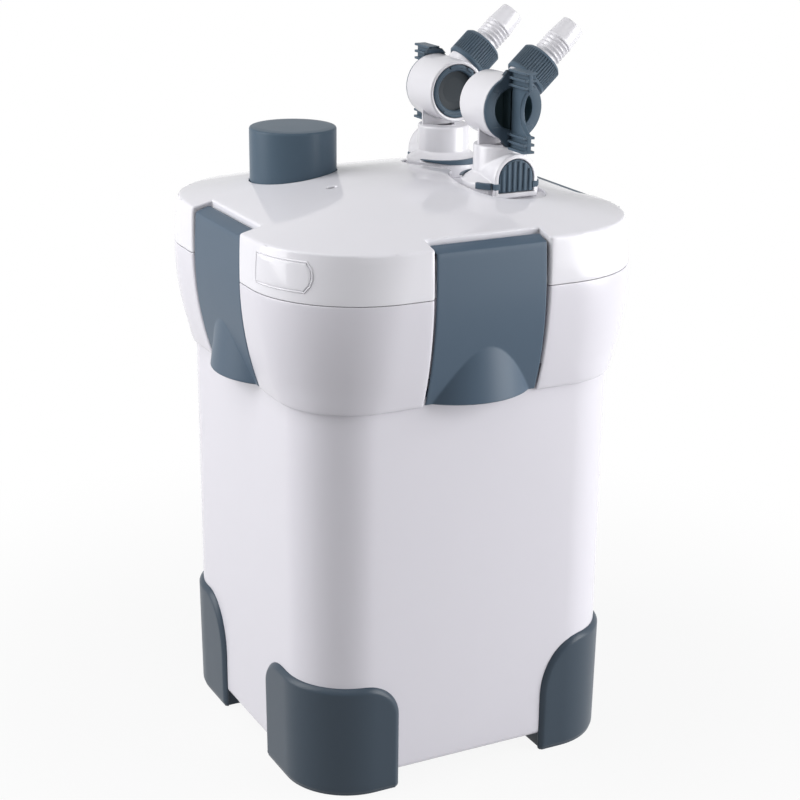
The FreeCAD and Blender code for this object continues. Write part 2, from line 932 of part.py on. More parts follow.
def pump():
    """The motor, its impeller on a fixed shaft, and the volute under the deck."""
    x, y = S.pump_x, S.pump_y
    deck_top = S.deck_low + S.deck_thick
    block = box("motor_box", (x - 38, x + 38), (y - 33, y + 33), (deck_top, 362))
    block = eased("motor_eased", block, 8, lambda b: b.ZMax - b.ZMin > 40)
    cavity = cylinder("motor_cavity", 12, 32, (x, y, deck_top - 1))
    seat = cylinder("motor_seat", 1.5, 10, (x, y, 335))
    node("motor_block", cut("motor", block, cavity, seat))
    rotor = cylinder("rotor", 10.5, 40, (x, y, 297))
    disc = cylinder("impeller_disc", 20, 2.5, (x, y, 294.8))
    blades = []
    for n in range(6):
        blade = box(f"blade_{n}", (5, 20), (-1, 1), (286, 295))
        turn = Rotation(UP, 60 * n)
        held = group(f"blade_{n}_turned", blade)
        held.Placement = FreeCAD.Placement(Vector(x.number, y.number, 0), turn)
        blades.append(held)
    hub = cylinder("impeller_hub", 6, 9, (x, y, 286))
    solid = joined("impeller_solid", rotor, disc, hub, *blades)
    bore = cylinder("impeller_bore", 1.56, 80, (x, y, 280))
    node("impeller", cut("impeller_cut", solid, bore))
    node("impeller_shaft", cylinder("shaft", 1.5, 59, (x, y, 282)))
    low = S.volute_low
    ring = cylinder("volute_ring", S.volute, S.deck_low - low, (x, y, low))
    duct = box(
        "volute_duct",
        (x + 10, S.tap_x + 17),
        (-S.tap_y - 17, -S.tap_y + 17),
        (low + 2, S.deck_low),
    )
    room = cylinder("volute_room", S.volute - 3, 40, (x, y, low + 3))
    way = box(
        "volute_way",
        (x + 8, S.tap_x + 14.5),
        (-S.tap_y - 14.5, -S.tap_y + 14.5),
        (low + 4.5, S.deck_low + 1),
    )
    eye = cylinder("volute_eye", 10, 10, (x, y, low - 2))
    arm = box("spider_arm", (x - 12, x + 12), (y - 1.2, y + 1.2), (low, low + 3))
    boss = cylinder("spider_boss", 4, 3, (x, y, low))
    shell = cut("volute_shell", joined("volute_solid", ring, duct), room, way, eye)
    bore = cylinder("spider_bore", 1.56, 4, (x, y, low + 0.9))
    node(
        "volute_cover",
        cut("volute", joined("volute_spider", shell, arm, boss), bore),
    )


def lamp():
    """The ultraviolet lamp in its quartz sleeve, its holder and the sight lens."""
    x, y = S.lamp_x, S.lamp_y
    r = S.sleeve
    node(
        "quartz_sleeve",
        revolved(
            "sleeve_tube",
            [
                (0, 240), (r - 3, 240), (r, 243), (r, 309), (r + 3, 309),
                (r + 3, 311.5), (r, 311.5), (r, 330), (r - 1.4, 330),
                (r - 1.4, 243.5), (r - 3.4, 241.4), (0, 241.4),
            ],
            (x, y, 0),
        ),
    )
    legs = [cylinder(f"lamp_leg_{n}", 3.6, 84, (x + d, y, 246)) for n, d in enumerate((-5, 5))]
    bridge = cylinder("lamp_bridge", 2.2, 10, (x - 5, y, 250), "x")
    base = cylinder("lamp_base", 9.8, 10, (x, y, 326))
    node("uv_lamp", joined("lamp_solid", *legs, bridge, base))
    holder = revolved(
        "holder",
        [(0, 336), (10.8, 336), (10.8, 330), (13.5, 330), (13.5, 358), (0, 358)],
        (x, y, 0),
    )
    node("lamp_holder", holder)
    window = box("window", (x - 3.4, x + 3.4), (y - 1.7, y + 1.7), (400, 411))
    rod = cylinder("light_rod", 1.7, 43, (x, y, 358))
    node("sight_lens", joined("lens_solid", window, rod))


def intake():
    """The down pipe from the rear tap's port to the floor of the canister."""
    pipe = revolved(
        "down_pipe",
        [
            (S.pipe - 2, 24), (S.pipe, 24), (S.pipe, 300), (16, 300),
            (16, S.deck_low), (S.pipe - 2, S.deck_low),
        ],
        (S.tap_x, S.tap_y, 0),
    )
    node("intake_pipe", pipe)


def baskets():
    """Four stacked media baskets with slotted floors, and their foam."""
    half, corner, wall = S.basket_half, S.basket_round, S.basket_wall
    low = S.basket_low
    outer = square_prism("basket_outer", half, corner, low, low + S.basket_tall)
    inner = square_prism(
        "basket_inner", half - wall, corner - wall, low + wall, low + S.basket_tall + 1
    )
    slots = [
        box(
            f"basket_slot_{n}_{side}",
            ((-96, -6) if side == 0 else (6, 36)),
            (-90 + 20 * n, -84 + 20 * n),
            (low - 1, low + wall + 1),
        )
        for n in range(10)
        for side in (0, 1)
    ]
    shell = cut("basket_shell", outer, inner, *slots)
    spot = (S.tap_x, S.tap_y, low)
    tube = cylinder("basket_tube", S.pipe + 3, S.basket_tall, spot)
    bore = cylinder("basket_bore", S.pipe + 1, S.basket_tall + 4, (S.tap_x, S.tap_y, low - 2))
    heels = at_corners("basket_heel", 101.5, 2.4, low - 2, low + wall)
    first = cut("basket_first", joined("basket_solid", shell, tube, *heels), bore)
    block = square_prism(
        "foam_block", half - wall - 1, corner - wall - 1, low + wall, low + 42
    )
    hole = cylinder("foam_hole", S.pipe + 3.5, 60, (S.tap_x, S.tap_y, low - 2))
    foam = cut("foam_first", block, hole)
    for n, word in enumerate(("bottom", "lower", "upper", "top")):
        for kind, thing in (("basket", first), ("foam", foam)):
            copy = group(f"{kind}_{word}_copy", thing)
            place(copy, (0, 0, S.basket_pitch * n))
            node(f"{kind}_{word}", copy)


def lean_axis():
    """The direction in which both hose tails point."""
    angle = math.radians(SIZES["lean"])
    return Vector(math.cos(angle), 0, math.sin(angle))


def d_shape(name, half, low, middle, near, far):
    """A bar along Y whose end is a square topped by a half circle."""
    block = box(f"{name}_block", (S.tap_x - half, S.tap_x + half), (near, far), (low, middle))
    arch = cylinder(f"{name}_arch", half, size(far) - near, (S.tap_x, near, middle), "y")
    over = box(
        f"{name}_over",
        (S.tap_x - half - 1, S.tap_x + half + 1),
        (size(near) - 1, size(far) + 1),
        (size(middle) - 40, middle),
    )
    return joined(name, block, cut(f"{name}_half", arch, over))


def tap_body():
    """The front tap's body: spigot, collar, tower, barrel and threaded stub."""
    x, y, level = S.tap_x, -S.tap_y, S.barrel_level
    trunk = revolved(
        "tap_trunk",
        [
            (10, 380), (S.spigot - 1, 380), (S.spigot, 382), (S.spigot, 384.4),
            (S.spigot - 1.7, 384.4), (S.spigot - 1.7, 387.2), (S.spigot, 387.2),
            (S.spigot, 391.4), (S.spigot - 1.7, 391.4), (S.spigot - 1.7, 394.2),
            (S.spigot, 394.2), (S.spigot, S.well_floor), (S.collar, S.well_floor),
            (S.collar, S.collar_top), (S.tower + 1, S.collar_top + 4.5),
            (S.tower, S.collar_top + 6), (S.tower, S.tower_top - 1),
            (S.tower - 1, S.tower_top), (14, S.tower_top), (14, level), (10, level),
        ],
        (x, y, 0),
    )
    web = box("tap_web", (x - 16, x + 16), (y - 1.5, y + 5.5), (S.tower_top - 1, level))
    barrel = cylinder(
        "tap_barrel",
        S.barrel,
        S.barrel_outer - S.barrel_inner,
        (x, -S.barrel_outer, level),
        "y",
    )
    stub = cylinder("tap_stub", S.stub, S.stub_end, (x, y, level), lean_axis())
    housing = d_shape(
        "tap_housing", S.tab_half + 3, S.well_floor + 2, S.tab_bow, -S.tab_face + 0.4, y - 12
    )
    front = box("tap_front", (x - 30, x + 30), (-80, -S.barrel_outer), (S.tab_bow + 17, 520))
    solid = joined("tap_solid", trunk, web, stub, housing)
    solid = joined("tap_trimmed", cut("tap_flat_front", solid, front), barrel)
    cavity = d_shape(
        "tab_room",
        S.tab_half + 0.4,
        S.well_floor + 5.5,
        S.tab_bow,
        -S.tab_face - 1,
        -S.tab_face + 8,
    )
    slot = box(
        "latch_slot",
        (x - 21.6, x + 21.6),
        (y - 40, y + 40),
        (S.latch_low - 0.4, S.latch_low + S.latch_thick + 0.4),
    )
    core = cylinder("latch_core", 15, 30, (x, y, 400))
    slot = cut("latch_slot_open", slot, core)
    seat = cylinder("plug_seat", S.plug + 0.3, 60, (x, -70, level), "y")
    ring_seat = cylinder("ring_seat", 20, 4, (x, -S.barrel_inner - 3.9, level), "y")
    down = cylinder("tap_way_down", 7.5, level - 378, (x, y, 379))
    wide = cylinder("tap_way_wide", 10, 50, (x, y, 379))
    out = cylinder("tap_way_out", 8, 60, (x, y, level), lean_axis())
    pocket = cylinder("spring_pocket", 3.2, 8, (x, -S.tab_face + 7, 419), "y")
    return cut(
        "tap_body_cut", solid, cavity, slot, seat, ring_seat, down, wide, out, pocket
    )


def tap_knob():
    """The lever that turns the valve: a disc with eared ends, a cup and a deep wing."""
    x, level = S.tap_x, S.barrel_level
    thick = S.knob_face - S.knob_back
    disc = cylinder("knob_disc", S.barrel, thick, (x, -S.knob_face, level), "y")
    tall = S.wing_tall
    ears = along_y(
        "knob_ears",
        [
            (-5.2, level + tall - 0.8), (-9.3, level + 20.5), (-18, level + 11),
            (-18, level - 11), (-9.3, level - 20.5), (-5.2, level - tall + 0.8),
            (5.2, level - tall + 0.8), (9.3, level - 20.5), (18, level - 11),
            (18, level + 11), (9.3, level + 20.5), (5.2, level + tall - 0.8),
        ],
        -S.knob_face,
        -S.knob_face + 3.2,
        x,
    )
    cup = cylinder("knob_cup", S.cup, 29.5, (x, -S.knob_face - 20, level), "y")
    hub = cylinder("knob_hub", S.cup + 1.5, 5, (x, -S.knob_back, level), "y")
    cup_wall = cut("knob_hub_cut", joined("knob_base", disc, ears, hub), cup)
    half = S.wing_thick / 2
    wing = box(
        "wing_plate",
        (x - half, x + half),
        (-S.wing_tip, -S.knob_face + 2),
        (level - tall, level + tall),
    )
    root_web = box(
        "wing_root",
        (x - half, x + half),
        (-S.knob_face - 1, -S.knob_back + 3),
        (level - S.cup - 0.5, level + S.cup + 0.5),
    )
    waist = cylinder(
        "wing_waist_cut", 25, 20, (x - 10, -S.wing_waist - 25, level), "x"
    )
    wing = cut("wing_cut", wing, waist)
    ridges = [
        box(
            f"ridge_{n}_{side}",
            (x - 4.2, x + 4.2),
            (-S.wing_tip + 1.2, -S.knob_face + 1),
            (level + side * place_z - 0.7, level + side * place_z + 0.7),
        )
        for n, place_z in enumerate((16.5, 21.5, 26.5))
        for side in (-1, 1)
    ]
    return joined("knob_whole", cup_wall, wing, root_web, *ridges)


def tap_plug():
    """The valve plug in the barrel, with an elbow bore from below to the hose tail."""
    x, y, level = S.tap_x, -S.tap_y, S.barrel_level
    plug = cylinder(
        "plug_bar",
        S.plug,
        S.knob_back - 5 - S.barrel_inner - 4.5,
        (x, -S.knob_back + 5, level),
        "y",
    )
    down = cylinder("plug_down", 7.5, 30, (x, y, level - 30))
    out = cylinder("plug_out", 7.5, 30, (x, y, level), lean_axis())
    return cut("plug_cut", plug, down, out)


def tap_end_ring():
    """The notched ring that keeps the plug in the open end of the barrel."""
    x, level = S.tap_x, S.barrel_level
    inner = -S.barrel_inner
    ring = cylinder("end_ring_bar", 19.9, 3.2, (x, inner - 3.9, level), "y")
    hole = cylinder("end_ring_hole", 15.5, 8, (x, inner - 6, level), "y")
    notches = [
        box(
            f"notch_{n}",
            (x - 3, x + 3) if n % 2 else (x - 22, x + 22),
            (inner - 2, inner + 1),
            (level - 22, level + 22) if n % 2 else (level - 3, level + 3),
        )
        for n in (0, 1)
    ]
    return cut("end_ring", ring, hole, *notches)


def tap_latch():
    """The release: a ribbed thumb tab on a plate that grips the port."""
    x, y = S.tap_x, -S.tap_y
    low, thick = S.latch_low, S.latch_thick
    disc = cylinder("latch_disc", S.collar - 0.2, thick, (x, y, low))
    sides = box("latch_sides", (x - 21.2, x + 21.2), (y - 40, y + 40), (low - 1, low + 5))
    plate = common("latch_plate", disc, sides)
    neck = box("latch_neck", (x - 11, x + 11), (-S.tab_face + 3, y), (low, low + thick))
    ways = [
        cylinder(f"latch_way_{n}", 15.4, 9, (x, y - d, low - 2))
        for n, d in enumerate((0.0, 1.5, 3.0))
    ]
    tab = d_shape(
        "tab_block", S.tab_half, low - 1.1, S.tab_bow, -S.tab_face, -S.tab_face + 4
    )
    grooves = [
        box(
            f"tab_groove_{n}",
            (x - 11.2 + 4.2 * n, x - 9.8 + 4.2 * n),
            (-S.tab_face - 1, -S.tab_face + 0.9),
            (low - 5, 440),
        )
        for n in range(6)
    ]
    plate = cut("latch_plate_open", joined("latch_flat", plate, neck), *ways)
    return joined("latch_whole", plate, cut("tab_ribbed", tab, *grooves))


def hose_nut():
    """The ribbed nut that clamps the hose tail onto the tap."""
    spot = (S.tap_x, -S.tap_y, S.barrel_level)
    near, far = S.nut_near, S.nut_far
    blank = revolved(
        "nut_blank",
        [
            (S.stub + 0.4, near), (S.nut - 2, near), (S.nut, near + 2),
            (S.nut, far - 2.5), (S.nut - 2.5, far), (11.9, far),
            (11.9, 38), (S.stub + 0.4, 38),
        ],
        spot,
        lean_axis(),
    )
    axis = lean_axis()
    ribs = 24
    side = Rotation(UP, axis)
    tools = []
    for n in range(ribs):
        groove = box(f"nut_groove_{n}", (S.nut - 0.7, S.nut + 2), (-0.8, 0.8), (20, 50))
        held = group(f"nut_groove_{n}_held", groove)
        centre = Vector(*[c.number for c in spot])
        spin = side * Rotation(UP, 360.0 * n / ribs)
        held.Placement = FreeCAD.Placement(centre, spin)
        tools.append(held)
    return cut("nut_cut", blank, *tools)


def hose_barb():
    """The stepped tail that the hose pushes over."""
    wide = S.barb_wide
    points = [(S.barb_bore, 34.3), (13.1, 34.3), (13.1, 37.7), (11.4, 37.7), (11.4, 46.5)]
    for n in range(3):
        start = 47.0 + 4 * n
        points += [(10.2, start), (11.4, start + 3.4)]
    points += [
        (10.2, 59.2), (wide, 60.5), (wide, 62), (S.barb_tip + 0.4, S.barb_end - 3),
        (S.barb_tip - 1, S.barb_end), (S.barb_bore, S.barb_end),
    ]
    spot = (S.tap_x, -S.tap_y, S.barrel_level)
    return revolved("barb", points, spot, lean_axis())


def taps():
    """The front tap's pieces, and the rear tap as its mirror image."""
    spot = (S.tap_x, -S.tap_y, S.barrel_level)
    rings = group(
        "spigot_rings",
        torus("spigot_ring_0", 12.75, 1.15, (S.tap_x, -S.tap_y, 385.8)),
        torus("spigot_ring_1", 12.75, 1.15, (S.tap_x, -S.tap_y, 392.8)),
    )
    spring = cylinder(
        "latch_spring_bar", 2.6, 11, (S.tap_x, -S.tab_face + 4, 419), "y"
    )
    spring_bore = cylinder(
        "latch_spring_bore", 1.9, 12, (S.tap_x, -S.tab_face + 3, 419), "y"
    )
    washer = revolved(
        "washer", [(8.6, 32.5), (12.6, 32.5), (12.6, 34), (8.6, 34)], spot, lean_axis()
    )
    pieces = {
        "tap_body": tap_body(),
        "tap_knob": tap_knob(),
        "tap_plug": tap_plug(),
        "tap_end_ring": tap_end_ring(),
        "tap_latch": tap_latch(),
        "latch_spring": cut("latch_spring_cut", spring, spring_bore),
        "spigot_rings": rings,
        "hose_nut": hose_nut(),
        "hose_barb": hose_barb(),
        "barb_washer": washer,
    }
    for name, thing in pieces.items():
        node(f"front_{name}", thing)
        node(f"rear_{name}", mirrored(f"rear_{name}_copy", thing, Vector(0, 1, 0)))


def build():
    """Every sub-part, in the order in which the filter goes together."""
    tub_outer = canister()
    feet(tub_outer)
    baskets()
    intake()
    head()
    clips()
    primer()
    pump()
    lamp()
    taps()


def check():
    """Stops the build if any object failed or any sub-part isn't a sound solid."""
    doc.recompute()
    failed = [o.Name for o in doc.Objects if {"Invalid", "Error"} & set(o.State)]
    if failed:
        raise RuntimeError(f"these objects failed: {failed}")
    for name, thing in NODES.items():
        shape = thing.Shape
        if shape.isNull() or not shape.isValid() or not shape.Solids:
            raise RuntimeError(f"{name} isn't a sound solid")


def export():
    """Writes each sub-part to its own file."""
    os.makedirs("parts", exist_ok=True)
    for name, thing in sorted(NODES.items()):
        thing.Shape.exportStep(f"parts/{name}.step")
        solids = len(thing.Shape.Solids)
        volume = thing.Shape.Volume / 1000
        print(f"{name}: {solids} solid(s), {volume:.1f} cm3")


build()
check()
export()
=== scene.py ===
"""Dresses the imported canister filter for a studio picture.

Lengths are in millimetres inside the classes and become metres when a skin is
turned into a Blender object. The front of the filter looks along -Y.
"""

from __future__ import annotations

import json
import logging
import math
from dataclasses import dataclass
from enum import Enum
from typing import Any, Callable, Iterable, Optional, Sequence

import bmesh
import bpy
import numpy as np
from bpy.types import Material, Mesh, Node, NodeSocket, Object
from mathutils import Matrix, Vector
from mathutils.geometry import delaunay_2d_cdt

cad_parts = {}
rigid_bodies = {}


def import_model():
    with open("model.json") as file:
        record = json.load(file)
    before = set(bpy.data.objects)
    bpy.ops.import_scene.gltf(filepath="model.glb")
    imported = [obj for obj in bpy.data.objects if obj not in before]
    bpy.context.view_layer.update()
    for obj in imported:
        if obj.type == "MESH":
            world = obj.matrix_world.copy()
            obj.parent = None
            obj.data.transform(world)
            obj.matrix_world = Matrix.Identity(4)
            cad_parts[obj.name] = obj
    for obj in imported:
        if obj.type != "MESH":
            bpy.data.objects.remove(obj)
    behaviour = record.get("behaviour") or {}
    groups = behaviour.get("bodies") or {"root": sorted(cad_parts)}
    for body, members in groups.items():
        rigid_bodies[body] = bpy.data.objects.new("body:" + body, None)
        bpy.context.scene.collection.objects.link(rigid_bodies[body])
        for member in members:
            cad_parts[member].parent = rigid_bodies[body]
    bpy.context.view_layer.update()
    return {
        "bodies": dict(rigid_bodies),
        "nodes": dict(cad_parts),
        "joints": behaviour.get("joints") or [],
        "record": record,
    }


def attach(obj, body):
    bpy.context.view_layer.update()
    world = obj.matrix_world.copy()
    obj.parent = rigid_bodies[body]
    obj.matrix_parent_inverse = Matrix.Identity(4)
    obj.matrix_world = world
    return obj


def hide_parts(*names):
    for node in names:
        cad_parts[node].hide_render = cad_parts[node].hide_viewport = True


LOG = logging.getLogger("canister_filter")
MM = 0.001
TINY = 1e-9  # keeps a division from failing
FLAT_EDGE = 1e-7  # metres: a shorter edge is dropped
WELD = 1e-3  # millimetres: nearer points are one
ON_LOOP = 1e-3  # millimetres: a nearer point lies on a loop
BLOCK = 512  # points looked up at once
MOST_OF_SIDE = 0.49  # share of a side that a rounding may take
STRAIGHT = 0.02  # radians: a flatter corner isn't rounded
ROW_STEP = 0.87  # distance of rows in a triangle grid, as a share of its spacing
CLEAR_OF_EDGE = 0.45  # distance of the grid from an edge, as a share of its spacing

Points = np.ndarray
Colour = tuple[float, float, float]
Place = Callable[[Points], Points]
Options = Optional[dict[Any, Any]]


# --------------------------------------------------------------------------
# Outlines and skins
# --------------------------------------------------------------------------


def softened(
    points: Sequence[Sequence[float]],
    radius: float | Sequence[float],
    closed: bool = True,
    steps: int = 5,
) -> Points:
    """Rounds the corners of a flat outline.

    Args:
        points: corners of the outline, in order.
        radius: one rounding for all corners, or one for each.
        closed: whether the last corner joins the first.
        steps: pieces in each rounding.

    Returns:
        The rounded outline, one row a point.
    """
    corners = np.asarray(points, float)
    count = len(corners)
    made: list[Points] = []
    for n, corner in enumerate(corners):
        wish = radius[n] if isinstance(radius, (list, tuple)) else radius
        if wish <= 0 or (not closed and n in (0, count - 1)):
            made.append(corner)
            continue
        before = corners[n - 1] - corner
        after = corners[(n + 1) % count] - corner
        reach = MOST_OF_SIDE * min(np.linalg.norm(before), np.linalg.norm(after))
        before /= np.linalg.norm(before)
        after /= np.linalg.norm(after)
        half = math.acos(float(np.clip(before @ after, -1, 1))) / 2
        if half > math.pi / 2 - STRAIGHT:
            made.append(corner)
            continue
        run = min(wish / math.tan(half), reach)
        turn = run * math.tan(half)
        middle = before + after
        centre = corner + middle / np.linalg.norm(middle) * (turn / math.sin(half))
        start, end = corner + before * run - centre, corner + after * run - centre
        sweep = math.acos(float(np.clip(start @ end / turn**2, -1, 1)))
        for k in range(steps + 1):
            share = k / steps
            arm = math.sin((1 - share) * sweep) * start + math.sin(share * sweep) * end
            made.append(centre + arm / math.sin(sweep))
    return np.array(made)


def subdivided(points: Points, longest: float, closed: bool = True) -> Points:
    """Adds points to an outline until no run is longer than a length.

    Args:
        points: the outline.
        longest: the longest run allowed.
        closed: whether the last point joins the first.

    Returns:
        The finer outline.
    """
    made: list[Points] = []
    last = len(points) if closed else len(points) - 1
    for n in range(last):
        start, end = points[n], points[(n + 1) % len(points)]
        pieces = max(1, math.ceil(np.linalg.norm(end - start) / longest))
        made += [start + (end - start) * k / pieces for k in range(pieces)]
    if not closed:
        made.append(points[-1])
    return np.array(made)


def inset(points: Points, amount: float | Points) -> Points:
    """Moves each point of a closed, counter-clockwise outline inwards.

    Args:
        points: the outline.
        amount: one distance, or one for each point.

    Returns:
        The moved outline.
    """
    ahead = np.roll(points, -1, axis=0) - points
    behind = points - np.roll(points, 1, axis=0)
    ahead /= np.maximum(np.linalg.norm(ahead, axis=1, keepdims=True), TINY)
    behind /= np.maximum(np.linalg.norm(behind, axis=1, keepdims=True), TINY)
    side_a = np.stack((-ahead[:, 1], ahead[:, 0]), 1)
    side_b = np.stack((-behind[:, 1], behind[:, 0]), 1)
    middle = side_a + side_b
    middle /= np.maximum(np.linalg.norm(middle, axis=1, keepdims=True), TINY)
    lean = np.maximum((middle * side_a).sum(1, keepdims=True), 0.5)
    return points + middle / lean * np.reshape(amount, (-1, 1))


def circle(radius: float, centre: Sequence[float] = (0, 0), steps: int = 64) -> Points:
    """A counter-clockwise circle of points in the plane."""
    turn = np.arange(steps) * 2 * math.pi / steps
    return np.stack((np.cos(turn), np.sin(turn)), 1) * radius + np.asarray(centre)


def as_is(points: Points) -> Points:
    """Leaves points where they are."""
    return points


def at_level(flat: Points, level: float | Points) -> Points:
    """Flat points set at one level, or each at its own."""
    return np.column_stack((flat, np.full(len(flat), level)))


def quarter_bend(steps: int) -> list[tuple[float, float]]:
    """(1 - cos, 1 - sin) along a quarter circle, from 0 to 90 degrees."""
    turns = [math.pi / 2 * k / steps for k in range(steps + 1)]
    return [(1 - math.cos(t), 1 - math.sin(t)) for t in turns]


def quarter_turn(number: int) -> Points:
    """The matrix that turns rows of flat points by a number of quarters."""
    turn = number * math.pi / 2
    return np.array([[math.cos(turn), math.sin(turn)], [-math.sin(turn), math.cos(turn)]])


def rounded_square(half: float, corner: float, arc: int = 18, side: int = 6) -> Points:
    """A counter-clockwise square outline with round corners.

    Args:
        half: half of the width.
        corner: radius of the corners.
        arc: pieces in each corner.
        side: pieces in each straight side.

    Returns:
        The outline, the same number of points for any size.
    """
    made: list[Points] = []
    flat = half - corner
    for quarter in range(4):
        share = np.arange(side) / side
        run = np.stack((np.full(side, half), -flat + 2 * flat * share), 1)
        sweep = np.arange(arc) / arc * math.pi / 2
        bend = np.stack((flat + corner * np.cos(sweep), flat + corner * np.sin(sweep)), 1)
        made.append(np.concatenate((run, bend)) @ quarter_turn(quarter))
    return np.concatenate(made)


def flowing(points: Sequence[Sequence[float]], longest: float) -> Points:
    """A smooth closed line through points.

    Args:
        points: the points, in order.
        longest: the longest run between points of the result.

    Returns:
        The finer line, which passes through every point.
    """
    knots = np.asarray(points, float)
    made: list[Points] = []
    for n in range(len(knots)):
        p0, p1, p2, p3 = (knots[(n + k) % len(knots)] for k in (-1, 0, 1, 2))
        pieces = max(1, math.ceil(np.linalg.norm(p2 - p1) / longest))
        for k in range(pieces):
            t = k / pieces
            made.append(
                0.5
                * (
                    2 * p1
                    + (p2 - p0) * t
                    + (2 * p0 - 5 * p1 + 4 * p2 - p3) * t**2
                    + (3 * p1 - p0 - 3 * p2 + p3) * t**3
                )
            )
    return np.array(made)


def dee(half: float, low: float, middle: float, arc: int = 30) -> Points:
    """A counter-clockwise outline with a flat foot and a round top.

    Args:
        half: half of the width, and the radius of the top.
        low: level of the foot.
        middle: level where the round top starts.
        arc: pieces in the round top.

    Returns:
        The outline, the same number of points for any size.
    """
    foot = [(-half + 2 * half * k / 10, low) for k in range(10)]
    right = [(half, low + (middle - low) * k / 4) for k in range(4)]
    turns = [math.pi * k / arc for k in range(arc + 1)]
    top = [(half * math.cos(t), middle + half * math.sin(t)) for t in turns]
    left = [(-half, middle - (middle - low) * k / 4) for k in range(1, 4)]
    return np.array(foot + right + top + left)


def sector(start: float, end: float, near: float, far: float) -> Points:
    """A counter-clockwise piece of a ring between two angles in degrees.

    Args:
        start: the first angle.
        end: the last angle.
        near: inner radius.
        far: outer radius.

    Returns:
        The outline.
    """
    turns = np.radians(np.linspace(start, end, max(4, int((end - start) / 4))))
    arc = np.column_stack((np.cos(turns), np.sin(turns)))
    return np.concatenate((arc * far, arc[::-1] * near))


def inside(points: Points, outline: Points) -> Points:
    """Tells which points lie within a closed outline.

    Args:
        points: flat points.
        outline: the outline.

    Returns:
        True for each point within.
    """
    x, y = points[:, 0][:, None], points[:, 1][:, None]
    x1, y1 = outline[:, 0], outline[:, 1]
    x2, y2 = np.roll(x1, -1), np.roll(y1, -1)
    rise = np.where(y2 == y1, 1e-12, y2 - y1)
    hit = ((y1 > y) != (y2 > y)) & (x < (x2 - x1) * (y - y1) / rise + x1)
    return hit.sum(1) % 2 == 1


def filled(
    outline: Points,
    holes: Sequence[Points] = (),
    lines: Sequence[Points] = (),
    spacing: float = 3.0,
) -> tuple[Points, list[tuple[int, ...]]]:
    """Covers a flat region with triangles.

    Args:
        outline: the outer edge.
        holes: edges of the holes.
        lines: closed lines inside that the triangles keep to.
        spacing: distance between the points added inside.

    Returns:
        The points, and the triangles as indices of points.
    """
    loops = [outline, *holes, *lines]
    low, high = outline.min(0), outline.max(0)
    columns = np.arange(low[0] + spacing / 2, high[0], spacing)
    levels = np.arange(low[1] + spacing / 2, high[1], spacing * ROW_STEP)
    grid = np.array(
        [(c + (k % 2) * spacing / 2, v) for k, v in enumerate(levels) for c in columns]
    )
    grid = grid[inside(grid, outline)]
    for hole in holes:
        grid = grid[~inside(grid, hole)]
    border = np.concatenate(loops)
    for start in range(0, len(border), 64):
        part = border[start : start + 64]
        away = np.linalg.norm(grid[:, None] - part[None], axis=2).min(1)
        grid = grid[away > spacing * CLEAR_OF_EDGE]
    points = np.concatenate((border, grid))
    edges: list[tuple[int, int]] = []
    first = 0
    for loop in loops:
        count = len(loop)
        edges += [(first + k, first + (k + 1) % count) for k in range(count)]
        first += count
    found = delaunay_2d_cdt([Vector(p) for p in points], edges, [], 0, 1e-5)
    flat = np.array([(v.x, v.y) for v in found[0]])
    faces = [tuple(f) for f in found[2]]
    middles = np.array([flat[list(f)].mean(0) for f in faces])
    keep = inside(middles, outline)
    for hole in holes:
        keep &= ~inside(middles, hole)
    return flat, [f for f, k in zip(faces, keep) if k]


def graded(
    points: Points, loops: Sequence[Points], heights: Sequence[Any], plain: float
) -> Points:
    """Gives each point the height of the loop that it lies on.

    Args:
        points: flat points.
        loops: the loops.
        heights: the height of each loop, or of each point of it.
        plain: the height away from the loops.

    Returns:
        One height for each point.
    """
    marks = np.concatenate(loops)
    values = np.concatenate([np.full(len(p), h) for h, p in zip(heights, loops)])
    made = np.zeros(len(points))
    for start in range(0, len(points), BLOCK):
        part = points[start : start + BLOCK]
        away = np.linalg.norm(part[:, None] - marks[None], axis=2)
        near = away.argmin(1)
        hit = away[np.arange(len(part)), near] < ON_LOOP
        made[start : start + BLOCK] = np.where(hit, values[near], plain)
    return made


